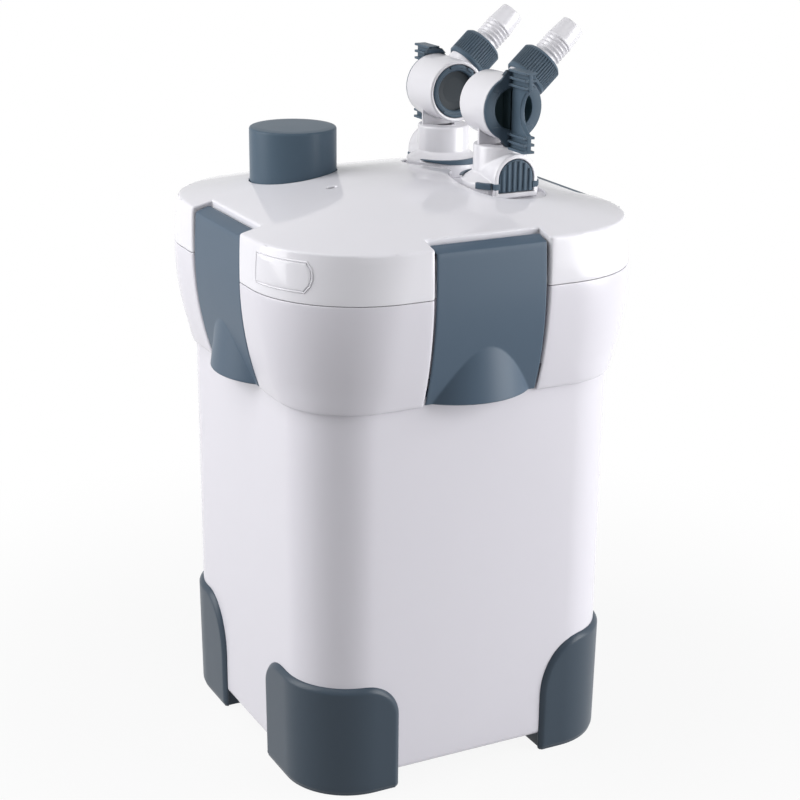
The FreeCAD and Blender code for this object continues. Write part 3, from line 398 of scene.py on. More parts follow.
class Skin:
    """Points and faces of one piece, in millimetres."""

    def __init__(self) -> None:
        """Starts with nothing in it."""
        self.points: list[Points] = []
        self.faces: list[tuple[int, ...]] = []
        self.count = 0

    def _add(self, points: Points) -> int:
        """Keeps points and returns the index of the first.

        Args:
            points: the points.

        Returns:
            The first index.
        """
        first = self.count
        self.points.append(np.asarray(points, float).reshape(-1, 3))
        self.count += len(self.points[-1])
        return first

    def rows(
        self,
        rows: Sequence[Points],
        around: bool = True,
        caps: tuple[bool, bool] = (False, False),
        loop: bool = False,
    ) -> "Skin":
        """Joins rows of points with quads.

        Args:
            rows: rows with the same number of points.
            around: whether each row is closed.
            caps: whether the first and the last row are filled.
            loop: whether the last row joins the first.

        Returns:
            The skin itself.
        """
        wide = len(rows[0])
        first = self._add(np.concatenate([np.asarray(r, float) for r in rows]))
        pairs = [(k, k + 1) for k in range(len(rows) - 1)]
        if loop:
            pairs.append((len(rows) - 1, 0))
        for a, b in pairs:
            low, high = first + a * wide, first + b * wide
            for k in range(wide if around else wide - 1):
                n = (k + 1) % wide
                self.faces.append((low + k, low + n, high + n, high + k))
        if caps[0]:
            self.faces.append(tuple(range(first, first + wide))[::-1])
        if caps[1]:
            self.faces.append(tuple(range(self.count - wide, self.count)))
        return self

    def patch(self, points: Points, faces: Iterable[Sequence[int]]) -> "Skin":
        """Adds faces over points of their own.

        Args:
            points: the points.
            faces: the faces as indices of points.

        Returns:
            The skin itself.
        """
        first = self._add(points)
        self.faces += [tuple(first + k for k in f) for f in faces]
        return self

    def slab(
        self, outline: Points, low: float, high: float, rounding: float, place: Place
    ) -> "Skin":
        """A plate with this outline and rounded rims.

        Args:
            outline: counter-clockwise outline.
            low: level of its lower face.
            high: level of its upper face.
            rounding: radius of both rims.
            place: turns (u, v, w) points into the frame's points.

        Returns:
            The skin itself.
        """
        rows: list[Points] = []
        for level, way in ((low, 1), (high, -1)):
            for rise, pull in quarter_bend(4)[::way]:
                flat = inset(outline, rounding * pull)
                rows.append(place(at_level(flat, level + way * rounding * rise)))
        return self.rows(rows, caps=(True, True))

    def turned(
        self,
        profile: Points,
        place: Place,
        steps: int,
        loop: bool = False,
    ) -> "Skin":
        """Turns a profile of (radius, height) points round an axis.

        Args:
            profile: the points, from one end to the other.
            place: turns points round the Z axis into the frame's points.
            steps: pieces in a full turn.
            loop: whether the profile closes on itself.

        Returns:
            The skin itself.
        """
        rows = []
        for radius, height in profile:
            rows.append(place(at_level(circle(max(radius, 0.0), steps=steps), height)))
        return self.rows(rows, loop=loop)

    def take(self, mesh: Mesh, place: Place) -> "Skin":
        """Adds the faces of a mesh in metres, placed in millimetres.

        Args:
            mesh: the mesh.
            place: turns its points into the frame's points.

        Returns:
            The skin itself.
        """
        flat = np.zeros(len(mesh.vertices) * 3)
        mesh.vertices.foreach_get("co", flat)
        points = flat.reshape(-1, 3) / MM
        faces = [tuple(p.vertices) for p in mesh.polygons]
        return self.patch(place(points), faces)

    def piece(self, name: str, angle: float) -> Object:
        """Makes the welded object in metres.

        Args:
            name: the piece's name.
            angle: edges sharper than this many degrees stay sharp.

        Returns:
            The object, linked to the scene.
        """
        made = bpy.data.meshes.new(name)
        points = np.concatenate(self.points) * MM
        made.from_pydata(points.tolist(), [], self.faces)
        clean(made)
        shade(made, angle)
        return linked(name, made)


def linked(name: str, data: Any) -> Object:
    """A new object of the scene with this mesh, camera or lamp.

    Args:
        name: its name.
        data: what it shows.

    Returns:
        The object.
    """
    thing = bpy.data.objects.new(name, data)
    bpy.context.scene.collection.objects.link(thing)
    return thing


def clean(mesh: Mesh, weld: float = WELD, outward: bool = True) -> None:
    """Welds a mesh, drops its empty faces and points the rest outwards.

    Args:
        mesh: the mesh.
        weld: points nearer than this are one, in millimetres.
        outward: whether the faces are turned.
    """
    work = bmesh.new()
    work.from_mesh(mesh)
    bmesh.ops.remove_doubles(work, verts=work.verts, dist=weld * MM)
    bmesh.ops.dissolve_degenerate(work, edges=work.edges, dist=FLAT_EDGE)
    if outward:
        bmesh.ops.recalc_face_normals(work, faces=work.faces)
    work.to_mesh(mesh)
    work.free()


def shade(mesh: Mesh, angle: float) -> None:
    """Shades a mesh smooth, with sharp edges past an angle in degrees.

    Args:
        mesh: the mesh.
        angle: the angle.
    """
    mesh.polygons.foreach_set("use_smooth", [True] * len(mesh.polygons))
    mesh.set_sharp_from_angle(angle=math.radians(angle))
    mesh.update()


def evaluated(thing: Object) -> Mesh:
    """The plain mesh that an object's modifiers give.

    Args:
        thing: the object.

    Returns:
        The mesh.
    """
    bpy.context.view_layer.update()
    graph = bpy.context.evaluated_depsgraph_get()
    return bpy.data.meshes.new_from_object(thing.evaluated_get(graph))


def walled(skin: Skin, name: str, thick: float, angle: float) -> Object:
    """Makes a piece of an open skin with a wall on its inner side.

    Args:
        skin: the outer skin.
        name: the piece's name.
        thick: the wall in millimetres.
        angle: edges sharper than this many degrees stay sharp.

    Returns:
        The object with closed walls and no modifier.
    """
    thing = skin.piece(name, angle)
    wall = thing.modifiers.new("wall", "SOLIDIFY")
    wall.thickness = thick * MM
    wall.offset = -1
    wall.use_even_offset = False
    old, thing.data = thing.data, evaluated(thing)
    thing.modifiers.clear()
    bpy.data.meshes.remove(old)
    thing.data.name = name
    shade(thing.data, angle)
    return thing


def joined(name: str, *things: Object) -> Object:
    """Joins objects into one.

    Args:
        name: the name of the whole.
        things: the objects, which are used up.

    Returns:
        The whole.
    """
    work = bmesh.new()
    for thing in things:
        work.from_mesh(thing.data)
    mesh = bpy.data.meshes.new(name)
    work.to_mesh(mesh)
    work.free()
    for thing in things:
        old = thing.data
        bpy.data.objects.remove(thing)
        bpy.data.meshes.remove(old)
    mesh.name = name
    return linked(name, mesh)


def smooth_copy(node: str, name: str, frame: dict[str, Any]) -> Object:
    """A merged and smoothly shaded copy of a CAD node.

    Args:
        node: name of the CAD node.
        name: name of the new piece.

    Returns:
        The copy, linked to the scene.
    """
    mesh = frame["nodes"][node].data.copy()
    mesh.name = name
    clean(mesh, 2e-3, outward=False)
    shade(mesh, 28)
    mesh.materials.clear()
    return linked(name, mesh)


# --------------------------------------------------------------------------
# Shader expressions
# --------------------------------------------------------------------------


class Wire:
    """A socket whose operators add Math nodes."""

    def __init__(self, tree: "NodeTree", socket: NodeSocket) -> None:
        """Holds an output socket of a tree."""
        self.tree = tree
        self.socket = socket

    def math(self, kind: str, *others: Any) -> "Wire":
        """The result of one Math node on this wire and others."""
        inputs = dict(enumerate((self, *others)))
        return self.tree.wire("ShaderNodeMath", {"operation": kind}, inputs)

    def __add__(self, other: Any) -> "Wire":
        """Sum."""
        return self.math("ADD", other)

    def __mul__(self, other: Any) -> "Wire":
        """Product."""
        return self.math("MULTIPLY", other)

    def __sub__(self, other: Any) -> "Wire":
        """Difference."""
        return self.math("SUBTRACT", other)

    def __rsub__(self, other: Any) -> "Wire":
        """Difference from a number."""
        return self.tree.wire("ShaderNodeMath", {"operation": "SUBTRACT"}, {0: other, 1: self})

    def __abs__(self) -> "Wire":
        """Size without sign."""
        return self.math("ABSOLUTE")

    def between(self, low: float, high: float) -> "Wire":
        """Rises smoothly from 0 at low to 1 at high.

        Args:
            low: where it is 0.
            high: where it is 1.

        Returns:
            The result.
        """
        return self.tree.wire(
            "ShaderNodeMapRange",
            {"interpolation_type": "SMOOTHSTEP"},
            {"Value": self, "From Min": low, "From Max": high},
        )


class NodeTree:
    """A node tree whose nodes are all added in one way."""

    def __init__(self, tree: bpy.types.NodeTree) -> None:
        """Keeps a tree and empties it."""
        self.tree = tree
        tree.nodes.clear()

    def fill(self, socket: NodeSocket, value: Any) -> None:
        """Links a socket to what it is given, or sets its value.

        Args:
            socket: an input of a node.
            value: a number, vector, colour, material, wire, node or socket, or
                a list of wires for a socket that takes several.
        """
        for one in value if isinstance(value, list) else (value,):
            if isinstance(one, Wire):
                one = one.socket
            elif isinstance(one, Node):
                one = one.outputs[0]
            if isinstance(one, NodeSocket):
                self.tree.links.new(one, socket)
            elif socket.type == "RGBA":
                socket.default_value = (*one, 1)
            else:
                socket.default_value = one

    def node(self, kind: str, settings: Options = None, inputs: Options = None) -> Node:
        """Adds a node.

        Args:
            kind: the node's type.
            settings: properties, which are set first.
            inputs: values or links of its sockets, by name or place.

        Returns:
            The node.
        """
        made = self.tree.nodes.new(kind)
        for key, value in (settings or {}).items():
            setattr(made, key, value)
        for key, value in (inputs or {}).items():
            self.fill(made.inputs[key], value)
        return made

    def wire(
        self, kind: str, settings: Options = None, inputs: Options = None, output: Any = 0
    ) -> Wire:
        """An output of a new node, by name or place, as a wire."""
        return Wire(self, self.node(kind, settings, inputs).outputs[output])

    def backdrop_ray(self) -> Wire:
        """1 for the rays that see the backdrop as it is shown: camera, gloss and glass.

        Returns:
            0 or 1.
        """
        path = self.node("ShaderNodeLightPath").outputs
        camera, gloss, glass = (
            Wire(self, path[f"Is {kind} Ray"]) for kind in ("Camera", "Glossy", "Transmission")
        )
        return (camera + gloss + glass).math("MINIMUM", 1.0)


class Shader(NodeTree):
    """One material and its node tree."""

    def __init__(self, name: str) -> None:
        """Starts a material with a Principled shader alone.

        Args:
            name: the material's name.
        """
        self.material = bpy.data.materials.new(name)
        self.material.use_nodes = True
        super().__init__(self.material.node_tree)
        self.output = self.node("ShaderNodeOutputMaterial")
        self.body = self.node("ShaderNodeBsdfPrincipled")
        self.fill(self.output.inputs["Surface"], self.body)
        self.where = self.node("ShaderNodeTexCoord").outputs["Object"]

    def noise(self, scale: float, detail: float = 2, rough: float = 0.5, where: Any = None) -> Wire:
        """Noise on Object coordinates, by size in 1/m.

        Args:
            scale: size in 1/m.
            detail: its octaves.
            rough: weight of the finer ones.
            where: coordinates of its own.

        Returns:
            A value from 0 to 1.
        """
        size = {"Vector": where or self.where, "Scale": scale}
        kind = {"noise_dimensions": "3D"}
        return self.wire("ShaderNodeTexNoise", kind, {**size, "Detail": detail, "Roughness": rough})

    def flattened(self, z: float) -> Wire:
        """Object coordinates scaled along Z."""
        return self.wire("ShaderNodeMapping", {}, {"Vector": self.where, "Scale": (1, 1, z)})

    def mix(self, share: Any, first: Any, second: Any) -> Wire:
        """A colour between two colours."""
        colours = {0: share, 6: first, 7: second}
        return self.wire("ShaderNodeMix", {"data_type": "RGBA"}, colours, 2)

    def bump(self, distance: float, height: Any, normal: Any = None) -> Node:
        """A bump of this depth in metres, over a normal where one is given.

        Args:
            distance: depth in metres.
            height: the height as a wire.
            normal: the normal under it.

        Returns:
            The node.
        """
        inputs = {"Distance": distance, "Height": height}
        if normal:
            inputs["Normal"] = normal
        return self.node("ShaderNodeBump", {}, inputs)

    def set(self, **values: Any) -> None:
        """Sets or links sockets of the Principled shader, with _ for spaces."""
        for key, value in values.items():
            self.fill(self.body.inputs[key.replace("_", " ")], value)


def linear(red: int, green: int, blue: int) -> Colour:
    """A screen colour of 0 to 255 as the shader's linear colour.

    Args:
        red: 0 to 255.
        green: 0 to 255.
        blue: 0 to 255.

    Returns:
        The colour.
    """

    def one(value: int) -> float:
        """One channel."""
        share = value / 255
        return share / 12.92 if share <= 0.04045 else ((share + 0.055) / 1.055) ** 2.4

    return one(red), one(green), one(blue)


# --------------------------------------------------------------------------
# Finishes
# --------------------------------------------------------------------------


@dataclass(frozen=True)
class Finish:
    """What all finishes share: a main colour and the making of the material."""

    colour: Colour

    def paint(self, s: Shader) -> None:
        """Fills the shader in the finish's own way."""
        raise NotImplementedError

    def make(self, name: str) -> Material:
        """Builds the material.

        Args:
            name: its name.

        Returns:
            The material.
        """
        s = Shader(name)
        self.paint(s)
        return s.material


@dataclass(frozen=True)
class Moulded(Finish):
    """Moulded plastic: fine skin, faint flow marks, edges lightened partly as rubbed wear and
    partly as a painted highlight.
    """

    roughness: float = 0.3
    coat: float = 0.0
    grain: float = 0.02
    edge: float = 0.6
    # how far edges lighten towards white: rubbed wear and a painted highlight
    wear_and_highlight: float = 0.12
    specular: float = 0.5
    mottle: float = 0.006

    def paint(self, s: Shader) -> None:
        """Fills the shader.

        Args:
            s: the shader.
        """
        rounded = s.node("ShaderNodeBevel", {"samples": 4}, {"Radius": self.edge * MM})
        plain = s.wire("ShaderNodeNewGeometry", output="Normal")
        same = s.wire(
            "ShaderNodeVectorMath", {"operation": "DOT_PRODUCT"}, {0: rounded, 1: plain}, "Value"
        )
        rim = (1 - same).between(0.02, 0.3)
        flow = s.noise(9, 3, 0.55, s.flattened(0.35))
        speck = s.noise(900, 2, 0.6)
        handled = s.noise(38, 4, 0.6)
        deep = tuple(c * (1 - self.mottle) for c in self.colour)
        pale = tuple(min(1.0, c * (1 + self.mottle)) for c in self.colour)
        # Edges lighten along the bevel: partly rubbed wear, partly a painted highlight.
        rubbed_and_highlit = tuple(c + (1 - c) * self.wear_and_highlight for c in self.colour)
        base = s.mix(flow.between(0.35, 0.66), deep, pale)
        base = s.mix(rim * handled.between(0.25, 0.6), base, rubbed_and_highlit)
        height = speck * 0.7 + s.noise(260, 3, 0.5) * 0.3
        rough = handled.between(0.3, 0.75) * 0.016 + (self.roughness - 0.008)
        s.set(
            Base_Color=base,
            Roughness=rough + rim * 0.06,
            Normal=s.bump(self.grain * MM, height, rounded),
            Specular_IOR_Level=self.specular,
            Coat_Weight=self.coat,
            Coat_Roughness=0.12,
        )


@dataclass(frozen=True)
class ShadedHollow(Finish):
    """Tap blue with painted shade: a darker colour fills the knob's cup and darkens the wing's
    sides with depth.
    """

    plain: Colour
    low: float = 0.0505
    high: float = 0.0635
    wing: float = 0.059

    def paint(self, s: Shader) -> None:
        """Fills the shader.

        Args:
            s: the shader.
        """
        across, depth, _ = (
            Wire(s, axis) for axis in s.node("ShaderNodeSeparateXYZ", {}, {0: s.where}).outputs
        )
        on_wing = 1 - abs(across - self.wing).between(0.0021, 0.0026)
        shown = abs(depth).between(self.low, self.high) * on_wing
        # Base colour: the painted shade colour deep in the cup and along the wing, plain tap blue
        # towards the face.
        s.set(
            Base_Color=s.mix(shown, self.colour, self.plain),
            Roughness=s.noise(60) * 0.06 + 0.4,
            Specular_IOR_Level=0.12,
        )


@dataclass(frozen=True)
class Foam(Finish):
    """Open filter foam: pores of a few tenths of a millimetre to two."""

    pores: float = 620

    def paint(self, s: Shader) -> None:
        """Fills the shader.

        Args:
            s: the shader.
        """
        fine, large = (
            s.wire("ShaderNodeTexVoronoi", {}, {"Vector": s.where, "Scale": scale})
            for scale in (self.pores, self.pores * 0.4)
        )
        wall = fine.between(0.25, 0.6) * 0.7 + large.between(0.3, 0.7) * 0.3
        # Darker where the bump sinks between cells: painted shade in the hollows.
        pore_shade = tuple(c * 0.35 for c in self.colour)
        s.set(
            Base_Color=s.mix(wall, self.colour, pore_shade),
            Roughness=s.noise(60) * 0.1 + 0.85,
            Normal=s.bump(1.2 * MM, 1 - wall),
        )


@dataclass(frozen=True)
class Metal(Finish):
    """Drawn or turned steel with fine lines along Z."""

    roughness: float = 0.28

    def paint(self, s: Shader) -> None:
        """Fills the shader.

        Args:
            s: the shader.
        """
        lines = s.noise(700, 2, 0.5, s.flattened(0.02))
        dull = tuple(c * 0.82 for c in self.colour)
        s.set(
            Base_Color=s.mix(s.noise(80, 3).between(0.4, 0.7), self.colour, dull),
            Metallic=1.0,
            Roughness=lines * 0.16 + (self.roughness - 0.08),
            Normal=s.bump(0.02 * MM, lines),
        )


@dataclass(frozen=True)
class Rubber(Finish):
    """Seal rubber with a bloom and a fine matt skin."""

    def paint(self, s: Shader) -> None:
        """Fills the shader.

        Args:
            s: the shader.
        """
        bloom = s.noise(120, 4, 0.6).between(0.4, 0.75)
        chalk = tuple(c * 1.6 + 0.01 for c in self.colour)
        s.set(
            Base_Color=s.mix(bloom, self.colour, chalk),
            Roughness=bloom * 0.12 + 0.55,
            Normal=s.bump(0.05 * MM, s.noise(1500)),
        )


@dataclass(frozen=True)
class Clear(Finish):
    """Clear glass or a clear window."""

    roughness: float = 0.03
    index: float = 1.46

    def paint(self, s: Shader) -> None:
        """Fills the shader.

        Args:
            s: the shader.
        """
        smear = s.noise(70, 3).between(0.45, 0.8)
        s.set(
            Base_Color=s.mix(smear * 0.25, self.colour, (0.75, 0.8, 0.82)),
            Roughness=smear * 0.08 + self.roughness,
            Transmission_Weight=0.9,
            IOR=self.index,
        )


class Slot(Enum):
    """The record's material slots."""

    TUB = "tub_white"
    HEAD = "head_white"
    COVER = "cover_white"
    TAP = "tap_white"
    GUARD = "guard_blue"
    CLIP = "clip_blue"
    CONTROL = "tap_blue"
    INNER = "inner_plastic"
    BASKET = "basket_grey"
    FOAM = "media_foam"
    SEAL = "seal_rubber"
    RESIN = "motor_resin"
    STEEL = "steel"
    CERAMIC = "ceramic"
    QUARTZ = "quartz"
    LAMP = "lamp_glass"


PEARL = linear(214, 212, 220)
# the cover's pearl, lighter than the bowl's: painted light for the light that the cover catches
PEARL_PAINTED_LIT = linear(226, 225, 231)
MILK = linear(216, 215, 220)
SLATE = linear(72, 89, 106)
SLATE_DARK = linear(58, 70, 82)
SLATE_MID = linear(76, 92, 106)
# painted shade colour of the knob's cup and the wing's flanks
HOLLOW_SHADE = linear(76, 96, 102)


class Paintbox:
    """The finishes of all slots, made once each."""

    FINISHES: dict[Slot, Finish] = {
        Slot.TUB: Moulded(PEARL, 0.25, grain=0.002, edge=1.2, wear_and_highlight=0.2),
        Slot.HEAD: Moulded(PEARL, 0.25, grain=0.002, edge=0.5, wear_and_highlight=0.2),
        Slot.COVER: Moulded(PEARL_PAINTED_LIT, 0.1, grain=0.001, edge=0.5, wear_and_highlight=0.2, specular=0.3),
        Slot.TAP: Moulded(MILK, 0.26, coat=0.2, grain=0.004, edge=0.9, wear_and_highlight=0.2),
        Slot.GUARD: Moulded(SLATE_DARK, 0.36, edge=0.8, wear_and_highlight=0.3, specular=0.25),
        Slot.CLIP: Moulded(SLATE, 0.42, grain=0.025, specular=0.3),
        Slot.CONTROL: Moulded(SLATE_MID, 0.36, edge=0.7, specular=0.12),
        Slot.INNER: Moulded(linear(172, 174, 178), 0.42, grain=0.03, edge=0.4, wear_and_highlight=0.1),
        Slot.BASKET: Moulded(linear(120, 126, 132), 0.45, grain=0.03, edge=0.5, wear_and_highlight=0.1),
        Slot.FOAM: Foam(linear(58, 84, 120)),
        Slot.SEAL: Rubber(linear(28, 28, 30)),
        Slot.RESIN: Moulded(linear(40, 43, 47), 0.5, grain=0.05, edge=0.5, wear_and_highlight=0.1),
        Slot.STEEL: Metal((0.62, 0.61, 0.6)),
        Slot.CERAMIC: Moulded(
            linear(224, 220, 208), 0.22, coat=0.3, grain=0.01, edge=0.2, wear_and_highlight=0.05
        ),
        Slot.QUARTZ: Clear((0.93, 0.95, 0.97)),
        Slot.LAMP: Clear((0.86, 0.9, 0.95), 0.05, 1.5),
    }
    PLUG = Moulded(linear(44, 51, 57), 0.4, grain=0.01, edge=0.4, wear_and_highlight=0.05, specular=0.15)
    # painted shade in the knob's cup
    CUP_SHADE = ShadedHollow(HOLLOW_SHADE, SLATE_MID)

    def __init__(self) -> None:
        """Starts with no material made."""
        self.made: dict[Slot | str, Material] = {}

    def extra(self, name: str, finish: Finish) -> Material:
        """A finish beside those of the slots.

        Args:
            name: the material's name.
            finish: its finish.

        Returns:
            The material.
        """
        if name not in self.made:
            self.made[name] = finish.make(name)
        return self.made[name]

    def finish(self, slot: Slot) -> Material:
        """The material of a slot.

        Args:
            slot: the slot.

        Returns:
            The material.
        """
        if slot not in self.made:
            self.made[slot] = self.FINISHES[slot].make(slot.value)
        return self.made[slot]


class Studio:
    """The floor, the lamps, the white surroundings and the camera."""

    YAW, PITCH, ROLL = -27.17, 18.65, 0.53
    LENS = 83.43
    SENSOR = 36
    SPOT = (-589.04, -1154.66, 681.50)
    FLOOR_HALF = 15.0
    SURROUND = 0.06
    AIM = Vector((0, 0, 0.25))

    def build(self) -> None:
        """Makes everything around the filter."""
        self.camera()
        self.floor()
        self.world()
        self.lamps()

    def camera(self) -> None:
        """Places the camera as the photograph was taken."""
        yaw, pitch, roll = (math.radians(v) for v in (self.YAW, self.PITCH, self.ROLL))
        level = math.cos(pitch)
        back = Vector((math.sin(yaw) * level, -math.cos(yaw) * level, math.sin(pitch)))
        right = Vector((math.cos(yaw), math.sin(yaw), 0))
        upward = back.cross(right)
        tilted = right * math.cos(roll) + upward * math.sin(roll)
        upward = back.cross(tilted)
        turn = Matrix((tilted, upward, back)).transposed().to_4x4()
        data = bpy.data.cameras.new("camera")
        data.lens = self.LENS
        data.sensor_width = self.SENSOR
        data.clip_start, data.clip_end = 0.05, 40
        camera = linked("camera", data)
        camera.matrix_world = Matrix.Translation(Vector(self.SPOT) * MM) @ turn
        bpy.context.scene.camera = camera

    def floor(self) -> None:
        """A plain pale floor that still takes the shadow."""
        mesh = bpy.data.meshes.new("floor")
        corners = [(x, y, 0) for x, y in ((-1, -1), (1, -1), (1, 1), (-1, 1))]
        mesh.from_pydata((np.array(corners) * self.FLOOR_HALF).tolist(), [], [(0, 1, 2, 3)])
        floor = linked("floor", mesh)
        s = Shader("floor_white")
        s.set(Base_Color=(0.5, 0.5, 0.5), Roughness=0.9, Specular_IOR_Level=0.0)
        away = s.wire("ShaderNodeVectorMath", {"operation": "LENGTH"}, {0: s.where}, "Value")
        lit = s.backdrop_ray() * (away.between(0.2, 0.6) * 0.09 + 0.91)
        glow = s.node("ShaderNodeEmission", {}, {"Color": (1, 1, 1), "Strength": 1.0})
        both = s.node("ShaderNodeMixShader", {}, {0: lit, 1: s.body, 2: glow})
        s.fill(s.output.inputs["Surface"], both)
        mesh.materials.append(s.material)

    def world(self) -> None:
        """White surroundings for the camera, softer for the light."""
        world = bpy.data.worlds.new("surroundings")
        world.use_nodes = True
        tree = NodeTree(world.node_tree)
        light = {"Color": (1, 1, 1), "Strength": self.SURROUND}
        dim = tree.node("ShaderNodeBackground", {}, light)
        white = tree.node("ShaderNodeBackground", {}, {"Strength": 1.0})
        both = {0: tree.backdrop_ray(), 1: dim, 2: white}
        shown = tree.node("ShaderNodeMixShader", {}, both)
        tree.node("ShaderNodeOutputWorld", {}, {"Surface": shown})
        bpy.context.scene.world = world

    def lamps(self) -> None:
        """Soft boxes on the left, on the right in front, and above."""
        for name, at, wide, tall, power in (
            ("left_box", (-1.45, 0.5, 0.8), 1.0, 1.3, 21.0),
            ("left_high", (-1.02, 0.18, 1.48), 1.0, 1.3, 10.4),
            ("right_box", (1.18, -1.02, 0.6), 1.1, 1.3, 31.5),
            ("top_box", (-0.35, -0.75, 1.75), 1.0, 1.3, 4.0),
        ):
            data = bpy.data.lights.new(name, "AREA")
            data.shape = "RECTANGLE"
            data.size, data.size_y = wide, tall
            data.energy = power
            spot = Vector(at)
            turn = (self.AIM - spot).to_track_quat("-Z", "Y").to_matrix().to_4x4()
            linked(name, data).matrix_world = Matrix.Translation(spot) @ turn


# --------------------------------------------------------------------------
# The filter
# --------------------------------------------------------------------------


class Assembly:
    """What every sub-assembly needs: the frame, the paints and dressing."""

    def __init__(self, frame: dict[str, Any], paints: Paintbox) -> None:
        """Keeps the frame and the paints.

        Args:
            paints: the finishes.
        """
        self.frame = frame
        self.paints = paints
        self.body_of = {
            node: body
            for body, nodes in frame["record"]["behaviour"]["bodies"].items()
            for node in nodes
        }

    def dress(self, thing: Object, slot: Slot, *nodes: str) -> None:
        """Paints a piece and lets it stand for CAD nodes.

        Args:
            thing: the piece.
            slot: its material slot.
            nodes: the CAD nodes, of which the first gives the body.
        """
        thing.data.materials.clear()
        thing.data.materials.append(self.paints.finish(slot))
        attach(thing, self.body_of[nodes[0]])
        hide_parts(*nodes)
        LOG.info("piece %s, %d faces", thing.name, len(thing.data.polygons))

    def shortened(self, node: str, name: str, axis: int, fixed: float, share: float) -> None:
        """Shows a spring as a copy that stays clear of what pushes it.

        Args:
            node: the spring's CAD node.
            name: name of the copy.
            axis: the axis along the spring.
            fixed: place of its fixed end, in millimetres.
            share: what is left of its length.
        """
        spring = smooth_copy(node, name, self.frame)
        for point in spring.data.vertices:
            point.co[axis] = (fixed + (point.co[axis] / MM - fixed) * share) * MM
        self.dress(spring, Slot.STEEL, node)


def side_swap(turns: int) -> Place:
    """A placing that turns points by quarters round the upright axis.

    Args:
        turns: the number of quarters.

    Returns:
        The placing.
    """

    def place(points: Points) -> Points:
        """Turns the points.

        Args:
            points: the front side's points.

        Returns:
            The turned points.
        """
        made = np.array(points, float)
        for _ in range(turns % 4):
            made = np.column_stack((-made[:, 1], made[:, 0], made[:, 2]))
        return made

    return place


@dataclass
class Tub:
    """The tapered canister."""

    half_low: float = 122
    half_top: float = 123
    corner_low: float = 45.6
    corner_top: float = 47.5
    low: float = 13
    top: float = 302
    rim: float = 296
    proud: float = 3.3
    wall: float = 3.5
    edge: float = 4

    def half(self, level: float) -> float:
        """Half of the width at a level."""
        share = (level - self.low) / (self.top - self.low)
        return self.half_low + (self.half_top - self.half_low) * share

    def corner(self, level: float) -> float:
        """Corner radius at a level."""
        share = (level - self.low) / (self.top - self.low)
        return self.corner_low + (self.corner_top - self.corner_low) * share

    def ring(self, level: float, out: float = 0.0) -> Points:
        """The outline at a level, moved outwards."""
        flat = rounded_square(self.half(level) + out, self.corner(level) + out, 24, 8)
        return at_level(flat, level)

    def build(self, kit: Assembly) -> None:
        """Makes the tub with its rolled bottom edge and its rim.

        Args:
            kit: frame, paints and dressing.
        """
        edge, soft = self.edge, 0.6
        rows = [self.ring(self.low + edge * up, -edge * pull) for up, pull in quarter_bend(8)]
        rows += [self.ring(z) for z in np.linspace(24, self.rim - 1.2, 12)]
        for level, out in (
            (self.rim, 1.0),
            (self.rim, self.proud - soft),
            (self.rim + soft, self.proud),
            (self.top - soft, self.proud),
            (self.top, self.proud - soft),
            (self.top, -self.wall + soft),
            (self.top - soft, -self.wall),
            *((z, -self.wall) for z in np.linspace(280, 20, 8)),
            (17.5, -self.wall - 0.9),
            (17, -self.wall - 3),
        ):
            rows.append(self.ring(level, out))
        skin = Skin().rows(rows, caps=(True, True))
        kit.dress(skin.piece("tub", 40), Slot.TUB, "canister")


